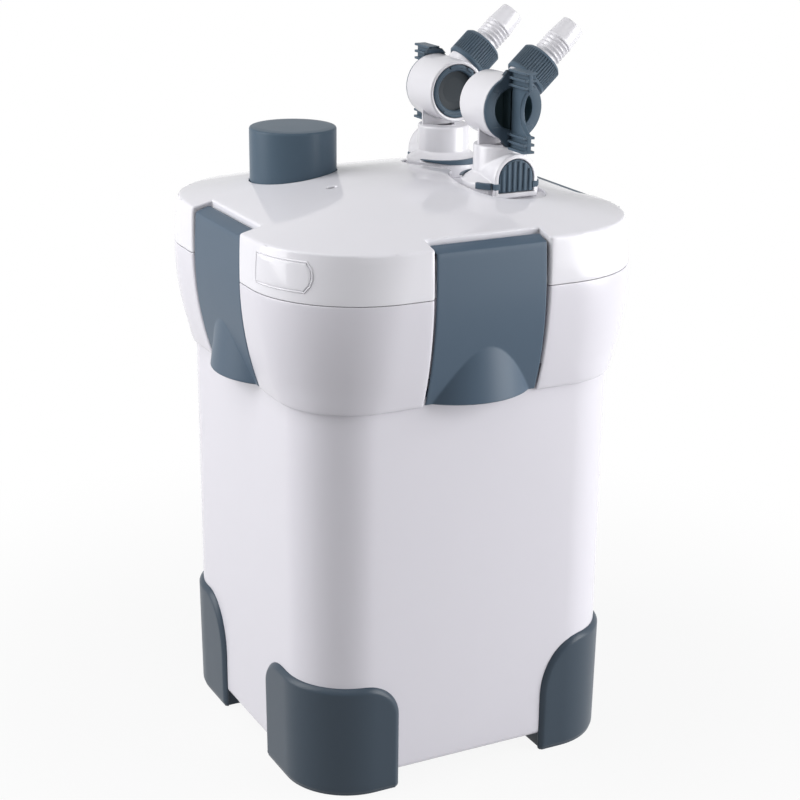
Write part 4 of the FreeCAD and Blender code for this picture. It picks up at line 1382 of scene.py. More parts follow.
@dataclass
class Feet:
    """The corner guards that wrap the tub and carry it."""

    tub: Tub
    proud: float = 2.5
    proud_top: float = 3.7
    along_x: float = 66.8
    along_y: float = 85.1
    foot_corner: float = 3.0
    sole: float = 13
    sole_in: float = 2.4
    sole_under: float = 0.9
    rim_in: float = 0.3
    back_in: float = 0.6
    full_rise: float = 88
    rounding: tuple[tuple[float, float], ...] = (
        (0.15, 0.22), (0.6, 0.4), (1.8, 0.68), (2.9, 0.9), (3.7, 0.98), (4.6, 1.0),
    )
    talls: tuple[float, ...] = (83.5, 88.5, 88.5, 88.5)
    shoulders: tuple[tuple[float, ...], ...] = (
        (27, 26, 27, 22),
        (33, 44, 33, 44),
        (33, 44, 33, 44),
        (33, 44, 33, 44),
    )

    def outline(self, length: float, tall: float, shoulder: tuple[float, ...]) -> Points:
        """The guard rolled out flat.

        Args:
            length: along both arms.
            tall: height at the corner.
            shoulder: width and drop of the round shoulder of each arm.

        Returns:
            The counter-clockwise outline.
        """
        r = self.foot_corner
        wide_a, drop_a, wide_b, drop_b = shoulder
        made: list[tuple[float, float]] = []
        for x, y, wide, drop, start in (
            (length - r, r, r, r, -math.pi / 2),
            (length - wide_b, tall - drop_b, wide_b, drop_b, 0.0),
            (wide_a, tall - drop_a, wide_a, drop_a, math.pi / 2),
            (r, r, r, r, math.pi),
        ):
            steps = 5 if wide == r else 18
            for k in range(steps + 1):
                bend = start + math.pi / 2 * k / steps
                made.append((x + wide * math.cos(bend), y + drop * math.sin(bend)))
        return subdivided(np.array(made), 2.4)

    def path(self, run: Points, out: float | Points, level: Points) -> Points:
        """Places points on the guard of the front left corner.

        Args:
            run: distance along the outline from the end of the X arm.
            out: distance outwards from the tub, one or one for each point.
            level: height.

        Returns:
            The points in the frame.
        """
        half, corner = self.tub.half_low, self.tub.corner_low
        flat = half - corner
        x_end = -(half + self.proud) + self.along_x
        straight = x_end + flat
        arc = corner * math.pi / 2
        made = np.zeros((len(run), 3))
        for n, (u, w, z) in enumerate(zip(run, np.broadcast_to(out, len(run)), level)):
            if u < straight:
                made[n] = (x_end - u, -(half + w), z)
            elif u < straight + arc:
                turn, far = (u - straight) / corner, corner + w
                made[n] = (-flat - far * math.sin(turn), -flat - far * math.cos(turn), z)
            else:
                made[n] = (-(half + w), -flat + (u - straight - arc), z)
        return made

    def guard(self, number: int) -> Skin:
        """One guard, as if it stood at the front left corner, with its sole.

        Args:
            number: which of the four.

        Returns:
            Its skin.
        """
        half, corner = self.tub.half_low, self.tub.corner_low
        flat = half - corner
        x_end = -(half + self.proud) + self.along_x
        y_end = -(half + self.proud) + self.along_y
        length = (x_end + flat) + corner * math.pi / 2 + (y_end + flat)
        outline = self.outline(length, self.talls[number], self.shoulders[number])
        loops = [inset(outline, pull) for pull, _ in self.rounding]
        points, faces = filled(outline, lines=loops, spacing=3.4)
        share = graded(points, [outline, *loops], [0.0, *(rise for _, rise in self.rounding)], 1.0)
        skin = Skin()
        stand = self.proud + (self.proud_top - self.proud) * points[:, 1] / self.full_rise
        out = share * (stand + self.rim_in) - self.rim_in
        skin.patch(self.path(points[:, 0], out, points[:, 1]), faces)
        behind = self.path(points[:, 0], -self.back_in, points[:, 1])
        skin.patch(behind, [tuple(reversed(f)) for f in faces])
        edges = (-self.rim_in, -self.back_in)
        skin.rows([self.path(outline[:, 0], edge, outline[:, 1]) for edge in edges])
        outer = self.proud - self.sole_under
        x_sole, y_sole, side = x_end - self.sole_in, y_end - self.sole_in, -(half + outer)
        sole = [(x_sole, side), (x_sole, y_sole), (side, y_sole)]
        bends = np.linspace(0, math.pi / 2, 19)[::-1]
        sole += [
            (-flat - (corner + outer) * math.sin(t), -flat - (corner + outer) * math.cos(t))
            for t in bends
        ]
        plan = softened(sole, [0.6, 2.5, 0.6] + [0] * len(bends), steps=3)
        skin.slab(plan, 0.0, self.sole - 0.05, 1.3, as_is)
        return skin

    def build(self, kit: Assembly) -> None:
        """Makes the four guards, mirrored from one.

        Args:
            kit: frame, paints and dressing.
        """
        corners = (("front_left", 1, 1), ("front_right", -1, 1))
        corners += (("rear_left", 1, -1), ("rear_right", -1, -1))
        for number, (name, x, y) in enumerate(corners):
            skin = self.guard(number)
            skin.points = [p * np.array((x, y, 1)) for p in skin.points]
            kit.dress(skin.piece(f"guard_{name}", 50), Slot.GUARD, f"foot_{name}")


@dataclass
class HeadForm:
    """The head's outer form with the four clip channels."""

    arc: float = 232.75
    swell: float = 362.44
    inward: float = 92.75
    widest: float = 140
    draw_in: float = 0.8
    draw_over: float = 30.86
    levels: tuple[float, ...] = (283, 300, 320, 340, 362.44, 377.9, 393.3)
    corners: tuple[float, ...] = (52.5, 62.5, 67.8, 71.7, 75.7, 79, 82)
    channel_half: float = 43.0
    channel_back: float = 15.3
    turn_out: float = 2.2
    turn_in: float = 0.8
    straight_steps: int = 6
    corner_steps: int = 26
    crown_edge: float = 390.6
    crown_low: float = 393.3
    crown_rise: float = 21.0
    top_half: float = 139.2
    top_corner: float = 82.0

    def half(self, level: float) -> float:
        """Half of the width at a level.

        Args:
            level: the level.

        Returns:
            The half width.
        """
        if level < self.swell:
            return math.sqrt(self.arc**2 - (level - self.swell) ** 2) - self.inward
        return self.widest - self.draw_in * ((level - self.swell) / self.draw_over) ** 2

    def corner(self, level: float) -> float:
        """Corner radius at a level."""
        return float(np.interp(level, self.levels, self.corners))

    def back(self, level: float) -> float:
        """Distance of the channel's inner wall from the middle.

        Args:
            level: the level.

        Returns:
            The distance.
        """
        return float(
            np.interp(
                level,
                (304, 320, 350, 365, 384.4, 386.9),
                (128.8, self.half(320) - 3.5, 135.9, 136.5, 131.0, 123.9),
            )
        )

    def channel(self) -> list[tuple[float, float]]:
        """One channel's columns as (across, depth), at full depth.

        Returns:
            The columns from left to right.
        """
        w, deep, out, turn = self.channel_half, self.channel_back, self.turn_out, self.turn_in
        left = [(-w - out * pull, out * rise) for rise, pull in quarter_bend(5)]
        left += [(-w, d) for d in (4.5, 7.5, 10.5, 13.0)]
        left += [(-w + turn * rise, deep - turn * pull) for rise, pull in quarter_bend(3)]
        left += [(x, deep) for x in np.linspace(-w + 4, 0, 9)]
        return left + [(-x, d) for x, d in reversed(left[:-1])]

    def ring(self, level: float) -> tuple[Points, Points]:
        """The outline at a level, counter-clockwise, from the front side on.

        Args:
            level: the height.

        Returns:
            The flat points, and whether each is in a channel.
        """
        half, corner = self.half(level), self.corner(level)
        if level > self.crown_edge:
            half, corner = self.top_half, self.top_corner
        flat = half - corner
        deep = half - self.back(level)
        start = self.channel_half + self.turn_out
        run, steps, arc = flat - start, self.straight_steps, self.corner_steps
        rows = [(-flat + run * (k / steps), -half) for k in range(steps)]
        for across, down in self.channel():
            if down > self.turn_out:
                rest = (down - self.turn_out) / (self.channel_back - self.turn_out)
                down = self.turn_out + rest * (deep - self.turn_out)
            rows.append((across, -half + down))
        last = len(rows)
        rows += [(start + run * ((k + 1) / steps), -half) for k in range(steps)]
        for k in range(1, arc):
            bend = math.pi / 2 * k / arc
            rows.append((flat + corner * math.sin(bend), -flat - corner * math.cos(bend)))
        quarters = [np.array(rows) @ quarter_turn(number) for number in range(4)]
        marks = [steps <= k < last for k in range(len(rows))]
        return np.concatenate(quarters), np.array(marks * 4)

    def row(self, level: float, pull: float = 0.0, tall: Optional[float] = None) -> Points:
        """The outline at a level as points, pulled in and set at a height of its own.

        Args:
            level: the level of the outline.
            pull: distance inwards.
            tall: the height, if it isn't the level.

        Returns:
            The points.
        """
        flat = self.ring(level)[0]
        return at_level(inset(flat, pull) if pull else flat, level if tall is None else tall)

    def crown(self, flat: Points) -> Points:
        """Height of the crowned top over flat points.

        Args:
            flat: the points.

        Returns:
            One height for each.
        """
        a, b = np.abs(flat[:, 0]), np.abs(flat[:, 1])
        high, low = np.maximum(a, b), np.minimum(a, b)
        run = self.top_half - self.top_corner
        share = high / self.top_half
        one = 2 * run**2 - self.top_corner**2
        two = -2 * run * (a + b)
        three = a**2 + b**2
        root = np.sqrt(np.maximum(two**2 - 4 * one * three, 0))
        bend = 2 * three / np.maximum(-two + root, TINY)
        share = np.where(low > share * run, bend, share)
        return self.crown_low + self.crown_rise * (1 - np.clip(share, 0, 1.2) ** 1.7)


@dataclass
class Head:
    """The crowned cover and the bowl under it."""

    form: HeadForm
    seam: float = 360.4
    gap: float = 0.28
    rim: float = 2.6
    channel_rim: float = 1.5
    rim_grows: tuple[float, float] = (45.2, 54.0)
    inner_reach: float = 130
    taps: tuple[tuple[float, float], ...] = ((59, -42), (59, 42))
    well: float = 30.6
    well_side: tuple[tuple[float, float], ...] = (
        (46.6, 5.5), (37.2, -8), (31.6, -22), (29.6, -38), (31.2, -56), (38, -69.5), (50.5, -76.4),
    )
    well_floor: float = 402.5
    port: float = 14.4
    button: tuple[float, float] = (-56, 56)
    button_hole: float = 31.9
    guide_low: float = 384.0
    slot: tuple[float, float] = (-55.0, -7.8)
    slot_half: tuple[float, float] = (3.5, 2.4)
    slot_deep: float = 2.5
    window: tuple[float, float] = (400.0, 408.7)
    rod: tuple[float, float] = (358.0, 400.4)
    rod_radius: float = 1.2
    low: float = 283
    skirt_low: float = 304
    deck: tuple[float, float] = (305, 309)
    cover_wall: float = 3.0
    bowl_wall: float = 2.0
    plate_wall: float = 0.7
    plate_at: tuple[float, float] = (-71.0, 388.2)

    def rim_loops(
        self, border: Points, radius: Points, ways: float, steps: int = 6
    ) -> tuple[list[Points], list[Points]]:
        """Loops that round an edge of the crown.

        Args:
            border: counter-clockwise edge.
            radius: rounding at each point.
            ways: 1 where the cover is inside the edge, -1 where it is outside.
            steps: pieces in the rounding.

        Returns:
            Flat loops and their drops below the crown, from the edge inwards.
        """
        bends = quarter_bend(steps)[::-1]
        loops = [inset(border, ways * radius * pull) for _, pull in bends]
        return loops, [radius * rise for rise, _ in bends]

    def well_edge(self) -> Points:
        """The recess round both taps: close round the rear one, wider in front.

        Returns:
            The outline.
        """
        x, y = self.taps[1]
        turns = np.radians(np.linspace(-66, 246, 20))
        rear = [(x + self.well * math.cos(t), y + self.well * math.sin(t)) for t in turns]
        left = list(self.well_side)
        right = [(2 * x - a, b) for a, b in reversed(left)]
        return flowing(rear + left + right, 2.0)

    def slot_corners(self, pull: float = 0.0) -> list[tuple[float, float]]:
        """Corners of the sight slot, pulled in by a distance.

        Args:
            pull: the distance.

        Returns:
            The four corners.
        """
        (x, y), (a, b) = self.slot, self.slot_half
        a, b = a - pull, b - pull
        return [(x - a, y - b), (x + a, y - b), (x + a, y + b), (x - a, y + b)]

    def sight(self) -> Skin:
        """The recessed window of the sight slot with its light rod.

        Returns:
            Its skin.
        """
        window = softened(self.slot_corners(0.1), 2.0, steps=6)
        skin = Skin().slab(window, *self.window, 0.2, as_is)
        return skin.slab(circle(self.rod_radius, self.slot, 32), *self.rod, 0.1, as_is)

    def cover(self) -> Skin:
        """The cover's outer skin.

        Returns:
            Its open skin.
        """
        form = self.form
        edge, marks = form.ring(form.crown_low)
        across, reach = np.sort(np.abs(edge), axis=1).T
        radius = np.interp(across, self.rim_grows, (self.channel_rim, self.rim))
        radius = np.where(marks | (reach < self.inner_reach), self.channel_rim, radius)
        flats, falls = self.rim_loops(edge, radius, 1)
        rows = [at_level(edge, form.crown(edge) - falls[0])]
        well = subdivided(self.well_edge(), 2.5)
        guide = subdivided(circle(self.button_hole, self.button, 96), 2.5)
        slot = subdivided(softened(self.slot_corners(), 2.1, steps=6), 2.5)
        highs: list[Points] = []
        for hole, size in ((well, 1.15), (guide, 1.1), (slot, 0.7)):
            rims, drops = self.rim_loops(hole, np.full(len(hole), size), -1)
            flats += rims
            falls += drops
            highs.append(form.crown(hole) - size)
        points, faces = filled(edge, (well, guide, slot), flats, 3.2)
        drop = graded(points, flats, falls, 0.0)
        skin = Skin().patch(at_level(points, form.crown(points) - drop), faces)
        levels = (389.2, 386.9, 385.6, 384.4, 381, 377, 372, 367, 363.6, 361.6)
        low = self.seam + self.gap / 2
        rows += [form.row(level) for level in levels]
        rows += [form.row(low, 0.08, low + 0.3), form.row(low, 0.4)]
        skin.rows(rows)
        self.well_wall(skin, well, highs[0])
        slot_low = highs[2].min() - self.slot_deep
        for hole, high, low in ((guide, highs[1], self.guide_low), (slot, highs[2], slot_low)):
            skin.rows([at_level(hole, high + (low - high) * share) for share in (0, 0.5, 1)])
        return skin

    def well_wall(self, skin: Skin, ring: Points, high: Points) -> None:
        """Hangs the well's wall from its edge, with the floor and the two ports.

        Args:
            skin: the cover's skin.
            ring: the well's edge.
            high: level of the edge at each point.
        """
        floor, soft = self.well_floor, 0.9
        rows = [at_level(ring, high), at_level(ring, floor + soft)]
        for pull, up in quarter_bend(3)[1:]:
            rows.append(at_level(inset(ring, soft * pull), floor + soft * up))
        ports = [circle(self.port, spot, 60) for spot in self.taps]
        flat, faces = filled(inset(ring, soft), ports, spacing=4.5)
        skin.patch(at_level(flat, floor), faces).rows(rows)

    def plate(self) -> Skin:
        """The bare plate on the cover's near left side.

        Returns:
            Its open skin.
        """
        form = self.form
        corners = [
            (0, 0), (44.5, 0.3), (48.2, 4.4), (50.0, 10.4), (48.2, 16.6), (44.5, 20.8), (0, 21.2),
        ]
        outline = softened(corners, [0.8, 0.8, 2, 12, 2, 0.8, 0.8], steps=5)
        outline = subdivided(outline, 1.6)
        loops = [inset(outline, d) for d in (0.15, 0.5, 0.85, 1.1, 1.4, 1.65, 2.0)]
        points, faces = filled(outline, lines=loops, spacing=2.0)
        lift = (-0.25, 0.4, 0.62, 0.5, 0.06, 0.06, 0.5, 0.6)
        share = graded(points, [outline, *loops], lift, 0.6)
        made = np.zeros((len(points), 3))
        start, top = self.plate_at
        for n, (u, v) in enumerate(points):
            level = top - v
            half, corner = form.half(level), form.corner(level)
            flat = half - corner
            run = start - u
            if run > -flat:
                made[n] = (-(half + share[n]), run, level)
            else:
                turn, far = (-flat - run) / corner, corner + share[n]
                made[n] = (-flat - far * math.cos(turn), -flat - far * math.sin(turn), level)
        return Skin().patch(made, faces)

    def bowl(self) -> Skin:
        """The bowl's outer skin.

        Returns:
            Its open skin.
        """
        form = self.form
        high = self.seam - self.gap / 2
        rows = [form.row(high, 0.4), form.row(high, 0.08, high - 0.3)]
        levels = (359, 355, 350, 343, 336, 329, 322, 315, 309, self.skirt_low)
        skin = Skin().rows(rows + [form.row(level) for level in levels])
        lower = [form.row(level) for level in (self.skirt_low, 300, 296, 292, 288.5, 286)]
        soft = 1.8
        lower += [form.row(self.low + soft * up, soft * pull) for pull, up in quarter_bend(5)[1:]]
        marks = form.ring(high)[1]
        count = len(marks)
        starts = [k for k in range(count) if marks[k - 1] and not marks[k]]
        for start in starts:
            run = [(start - 4 + k) % count for k in range(count)]
            length = next(k for k, n in enumerate(run[5:], 5) if marks[n]) + 4
            keep = run[:length]
            skin.rows([row[keep] for row in lower], around=False)
        return skin

    def build(self, kit: Assembly) -> None:
        """Makes the cover and the bowl.

        Args:
            kit: frame, paints and dressing.
        """
        cover = walled(self.cover(), "cover", self.cover_wall, 38)
        plate = walled(self.plate(), "plate", self.plate_wall, 50)
        kit.dress(joined("cover", cover, plate), Slot.COVER, "head_cover")
        bowl = walled(self.bowl(), "bowl", self.bowl_wall, 38)
        deck = Skin().slab(rounded_square(126, 55), *self.deck, 0.8, as_is)
        bowl = joined("bowl", bowl, deck.piece("deck", 38))
        kit.dress(bowl, Slot.HEAD, "head_bowl")
        kit.dress(self.sight().piece("sight_window", 40), Slot.QUARTZ, "sight_lens")


@dataclass
class Clips:
    """The four side clips, each with its flared finger pull."""

    form: HeadForm
    half: float = 42.2
    half_top: float = 41.1
    low: float = 284.6
    top: float = 390.6
    edge_out: float = 137.2
    thick: float = 2.2
    pivot: float = 127.5
    pivot_level: float = 390.5
    knuckle: float = 3.1
    apex: float = 321.0
    flare_top: float = 50.0
    flare_low: float = 55.0
    flare_foot: float = 283
    flare_over: float = 8
    axis: float = 86.5
    keen: float = 0.12
    inside: float = 0.35
    taper_from: float = 300
    taper_in: float = 1.35
    right_lift: float = 2.4
    hooks: tuple[tuple[float, float], ...] = ((-41.9, -33.5), (33.5, 41.9))
    hook_depth: tuple[float, float] = (-127.4, -124.0)
    hook_levels: tuple[float, float] = (290.5, 295.6)

    def front(self, across: float, level: float) -> float:
        """Distance of the clip's face from the middle.

        Args:
            across: place across the clip.
            level: the level.

        Returns:
            The distance.
        """
        rise = min(max((level - self.taper_from) / 88, 0.0), 1.0)
        plain = self.form.half(level) - self.inside - self.taper_in * rise**1.5
        share = (self.apex - level) / (self.apex - self.flare_foot)
        radius = self.flare_top + (self.flare_low - self.flare_top) * share
        if level > self.apex + self.flare_over or abs(across) >= radius:
            return plain
        flare = self.axis + math.sqrt(radius**2 - across**2) - 0.2
        gap = flare - plain
        return plain + (gap + math.sqrt(gap**2 + self.keen**2)) / 2

    def narrow(self, level: float) -> float:
        """The clip's width at a level as a share of its width below."""
        share = min(max((level - self.taper_from) / 90, 0.0), 1.0)
        return 1 + (self.half_top / self.half - 1) * share

    def skin(self, lift: float) -> Skin:
        """The clip of the front side, the outer edge of its crest lifted by a height.

        Args:
            lift: the height.

        Returns:
            Its open skin.
        """
        spans = (self.top - 1.6, 326, 24), (325.3, 290, 58), (289, self.low + 0.9, 5)
        levels = np.concatenate([np.linspace(*span) for span in spans])
        half = self.half
        middle = np.linspace(-half + 0.9, half - 0.9, 112)
        across = np.concatenate(([-half, -half + 0.25], middle, [half - 0.25, half]))
        pull = np.interp(np.abs(across), (half - 0.9, half - 0.25, half), (0, 0.22, 0.8))
        rows = []
        crest = [
            (-self.pivot, 393.55),
            (-self.pivot - 1.2, 393.5),
            (-self.edge_out + 0.9, self.top + 0.3 + lift),
            (-self.edge_out, self.top - 0.35 + lift),
        ]
        slim = across * (self.half_top / self.half)
        for y, z in crest:
            rows.append([(x, y + p * 0.6, z - p * 0.4) for x, p in zip(slim, pull)])
        for level in levels:
            slim = across * self.narrow(level)
            rows.append([(x, -(self.front(x, level) - p), level) for x, p in zip(slim, pull)])
        end = self.low
        for k, back in ((0.35, 0.25), (0.0, 0.9)):
            rows.append(
                [(x, -(self.front(x, end + 0.9) - back - p), end + k) for x, p in zip(across, pull)]
            )
        return Skin().rows([np.array(r) for r in rows], around=False)

    def build(self, kit: Assembly) -> None:
        """Makes the four clips.

        Args:
            kit: frame, paints and dressing.
        """
        lifts = {"front": 0.0, "right": self.right_lift, "rear": 0.0, "left": 0.0}
        for turns, (name, lift) in enumerate(lifts.items()):
            place = side_swap(turns)
            shell = self.skin(lift)
            shell.points = [place(p) for p in shell.points]
            face = walled(shell, f"face_{name}", self.thick, 30)
            rest = self.fixings(place).piece(f"rest_{name}", 30)
            kit.dress(joined(f"clip_plate_{name}", face, rest), Slot.CLIP, f"clip_{name}")

    def fixings(self, place: Place) -> Skin:
        """A clip's knuckle round its pin and its two hooks under the tub's rim.

        Args:
            place: turns the front clip's points to the clip's own side.

        Returns:
            Their skin.
        """
        skin = Skin()
        end = self.half_top
        barrel = softened(
            [(0, -end), (self.knuckle, -end), (self.knuckle, end), (0, end)],
            [0, 0.5, 0.5, 0],
            closed=False,
            steps=3,
        )

        def along(p: Points) -> Points:
            """Lays the knuckle along the clip's top."""
            laid = (p[:, 2], p[:, 0] - self.pivot, p[:, 1] + self.pivot_level)
            return place(np.column_stack(laid))

        skin.turned(barrel, along, 32)
        out, back = self.hook_depth
        for low, high in self.hooks:
            hook = softened([(low, out), (high, out), (high, back), (low, back)], 0.6, steps=3)
            skin.slab(hook, *self.hook_levels, 0.6, place)
        return skin


@dataclass
class Primer:
    """The tall priming button."""

    at: tuple[float, float]
    radius: float = 31.4
    top: float = 442.6
    low: float = 370
    inner: float = 28.6
    spring_foot: float = 325
    squash: float = 0.77

    def build(self, kit: Assembly) -> None:
        """Makes the button as a turned cap, over a spring that clears it when pushed.

        Args:
            kit: frame, paints and dressing.
        """
        profile = softened(
            [
                (0, self.top),
                (self.radius - 6, self.top),
                (self.radius, self.top - 0.5),
                (self.radius, self.low),
                (self.inner, self.low),
                (self.inner, self.top - 3),
                (0, self.top - 3),
            ],
            [0, 30, 1.7, 0.5, 0.5, 2, 0],
            closed=False,
            steps=8,
        )

        def place(p: Points) -> Points:
            """Moves the cap to its corner."""
            return p + np.array((*self.at, 0))

        skin = Skin().turned(profile, place, 128)
        kit.dress(skin.piece("priming_button", 40), Slot.CONTROL, "primer_button")
        kit.shortened("primer_spring", "priming_spring", 2, self.spring_foot, self.squash)


class GeoTree(NodeTree):
    """A Geometry Nodes tree with named inputs, built in code."""

    def __init__(self, name: str, **inputs: float | int) -> None:
        """Starts a tree.

        Args:
            name: its name.
            inputs: its inputs with their values; a whole number makes an
                integer input.
        """
        super().__init__(bpy.data.node_groups.new(name, "GeometryNodeTree"))
        face = self.tree.interface
        face.new_socket("Geometry", in_out="OUTPUT", socket_type="NodeSocketGeometry")
        self.values = inputs
        for key, value in inputs.items():
            kind = "NodeSocketInt" if isinstance(value, int) else "NodeSocketFloat"
            face.new_socket(key, in_out="INPUT", socket_type=kind)
        sockets = self.node("NodeGroupInput").outputs
        self.given = {socket.name: Wire(self, socket) for socket in sockets}

    def xyz(self, x: Any = 0.0, y: Any = 0.0, z: Any = 0.0) -> Wire:
        """A vector from three numbers or wires."""
        return self.wire("ShaderNodeCombineXYZ", {}, {0: x, 1: y, 2: z})

    def line(self, start: Wire, offset: Wire) -> Wire:
        """As many points as Count says, from a start and an offset apart.

        Args:
            start: the first point.
            offset: the step to the next.

        Returns:
            The points.
        """
        return self.wire(
            "GeometryNodeMeshLine",
            {"mode": "OFFSET"},
            {"Count": self.given["Count"], "Start Location": start, "Offset": offset},
        )

    def copies(self, points: Wire, instance: Wire, **more: Any) -> Wire:
        """One instance on every point, with more inputs by name."""
        inputs = {"Points": points, "Instance": instance, **more}
        return self.wire("GeometryNodeInstanceOnPoints", {}, inputs)

    def moved(self, geometry: Wire, offset: Wire, **more: Any) -> Wire:
        """A geometry moved by an offset, with more inputs by name."""
        inputs = {"Geometry": geometry, "Translation": offset, **more}
        return self.wire("GeometryNodeTransform", {}, inputs)

    def mesh(self, geometry: Wire, material: Material) -> Mesh:
        """Runs the tree once.

        Args:
            geometry: what it makes.
            material: the finish that it sets.

        Returns:
            The plain mesh.
        """
        solid = self.wire("GeometryNodeRealizeInstances", {}, {"Geometry": geometry})
        painted = {"Geometry": solid, "Material": material}
        painted = self.wire("GeometryNodeSetMaterial", {}, painted)
        self.node("NodeGroupOutput", {}, {0: painted})
        holder = linked("holder", bpy.data.meshes.new("holder"))
        run = holder.modifiers.new("run", "NODES")
        run.node_group = self.tree
        for item in self.tree.interface.items_tree:
            if item.in_out == "INPUT":
                run[item.identifier] = self.values[item.name]
        made = evaluated(holder)
        bpy.data.objects.remove(holder)
        return made


class Side(Enum):
    """The side that a tap's knob looks to."""

    FRONT = "front"
    REAR = "rear"


@dataclass
class Tap:
    """One tap: body, knob, plug ring, latch, nut and hose tail."""

    side: Side
    # where it stands
    x: float = 59
    y: float = 42
    level: float = 464.5
    lean: float = 42.5
    # the barrel, measured outwards from the middle plane
    barrel_near: float = 22.0
    barrel_far: float = 22.9
    near: float = 21.2
    seat: float = 19.5
    bore: float = 17.3
    # the knob
    disc: float = 22.6
    face: float = 59
    back: float = 57.25
    cup: float = 14.6
    wing_tip: float = 81
    wing_waist: float = 71
    wing_bow: float = 16.5
    wing_tall: float = 26.7
    wing_thick: float = 1.9
    # the nut, along the hose tail
    nut: float = 15.5
    nut_near: float = 23.6
    nut_far: float = 44.6
    ribs: int = 48
    # the trunk under the barrel
    drum: float = 18.9
    drum_top: float = 438.0
    collar: float = 27.0
    collar_flat: float = 19.4
    spigot: float = 13.3
    # the latch tab, its housing and its spring
    tab_half: float = 13.4
    tab_low: float = 407.7
    tab_bow: float = 416.9
    tab_face: float = 65.2
    housing: float = 17.0
    spring_foot: float = 55
    squash: float = 0.29

    @property
    def sign(self) -> float:
        """Direction along Y of the tap's own side."""
        return -1.0 if self.side is Side.FRONT else 1.0

    def faced(self, points: Points) -> Points:
        """Turns (across, up, outward) points to the tap's own side.

        Args:
            points: the points.

        Returns:
            The frame's points.
        """
        return np.column_stack(
            (self.x + points[:, 0], self.sign * points[:, 2], self.level + points[:, 1])
        )

    def leaned(self, points: Points) -> Points:
        """Turns points round Z onto the leaning axis of the hose tail.

        Args:
            points: the points.

        Returns:
            The frame's points.
        """
        angle = math.radians(self.lean)
        c, s = math.cos(angle), math.sin(angle)
        x, y, z = points[:, 0], points[:, 1], points[:, 2]
        return np.column_stack(
            (self.x + z * c - x * s, self.sign * self.y + y, self.level + z * s + x * c)
        )

    def knob(self, kit: Assembly) -> Skin:
        """The knob: a dished disc, two ears and a deep wing with ridges.

        Args:
            kit: frame, paints and dressing.

        Returns:
            Its skin.
        """
        skin = Skin()
        profile = softened(
            [
                (0, 47.3), (self.cup, 47.3), (self.cup, self.face), (self.disc, self.face),
                (self.disc, self.back), (self.bore - 0.4, self.back), (self.bore - 0.4, 47.05),
                (0, 47.05),
            ],
            [0, 1.0, 0.5, 0.8, 0.3, 0.2, 0.2, 0],
            closed=False,
            steps=6,
        )
        skin.turned(profile, self.faced, 112)
        for way in (1, -1):
            self.ear(skin, way)
        self.wing(skin)
        return skin.take(self.ridges(kit), self.faced)

    def ear(self, skin: Skin, way: int) -> None:
        """Adds an ear of the disc, and the horn behind it, above or below the axis.

        Args:
            skin: takes them.
            way: 1 above, -1 below.
        """
        flip = np.array((1, way))
        tall = self.wing_tall - 0.8
        ear = np.array(
            [
                (-5.0, tall), (-9.3, 20.6), (-16.4, 12.9), (-15.0, 12.2), (-11.2, 12.0),
                (-7, 14.6), (0, 15.8), (7, 14.6), (11.2, 12.0), (15.0, 12.2), (16.4, 12.9),
                (9.3, 20.6), (5.0, tall),
            ]
        )
        bends = [1.2, 5, 0.5, 0.2, 0, 0, 0, 0, 0, 0.2, 0.5, 5, 1.2]
        ear = softened((ear * flip)[::-way], bends, steps=4)
        skin.slab(ear, self.back + 0.05, self.face + 0.12, 0.4, self.faced)
        horn = np.array([(-5.0, tall), (-8.4, 21.9), (8.4, 21.9), (5.0, tall)])
        horn = softened((horn * flip)[::-way], [1.2, 0.8, 0.8, 1.2], steps=4)
        root = self.disc + 0.6
        horn[:, 1] = np.where(np.abs(horn[:, 1]) < root, way * root, horn[:, 1])
        skin.slab(horn, self.face - 3.4, self.face - 0.4, 0.5, self.faced)

    def wing(self, skin: Skin) -> None:
        """Adds the deep wing, with its root in the cup.

        Args:
            skin: takes it.
        """
        tall, tip, waist, bow = self.wing_tall, self.wing_tip, self.wing_waist, self.wing_bow
        outline = [(-tall, self.face - 1.5), (-tall, tip)]
        limit = math.acos((waist + bow - tip) / bow)
        for k in range(25):
            turn = limit * (k / 12 - 1)
            outline.append((bow * math.sin(turn), waist + bow * (1 - math.cos(turn))))
        outline += [(tall, tip), (tall, self.face - 1.5)]
        rounding = [0.5, 1.2, 1.4] + [0.0] * 23 + [1.4, 1.2, 0.5]
        blade = softened(outline[::-1], rounding, steps=4)
        wide, high = self.cup + 0.4, self.face + 1
        root = softened([(wide, 47.6), (wide, high), (-wide, high), (-wide, 47.6)], 0.3)

        def upright(points: Points) -> Points:
            """Sets the blade upright, with its thickness across."""
            return self.faced(np.column_stack((points[:, 2], points[:, 0], points[:, 1])))

        skin.slab(blade, -self.wing_thick, self.wing_thick, 0.7, upright)
        skin.slab(root, -self.wing_thick, self.wing_thick, 0.2, upright)

    def paint_cup_shade(self, knob: Object, deep: Material) -> None:
        """Paints shade into the knob's cup and onto the wing's flanks with a darker finish.

        Args:
            knob: the finished knob.
            deep: the darker, painted shade finish of the cup and the flanks.
        """
        knob.data.materials.append(deep)
        for face in knob.data.polygons:
            x, y, z = (v / MM for v in face.center)
            out = math.hypot(x - self.x, z - self.level)
            flank = abs(abs(x - self.x) - self.wing_thick) < 0.02 and abs(z - self.level) < 3
            if flank or (out < self.cup + 0.6 and abs(y) < self.face - 0.6):
                face.material_index = 1

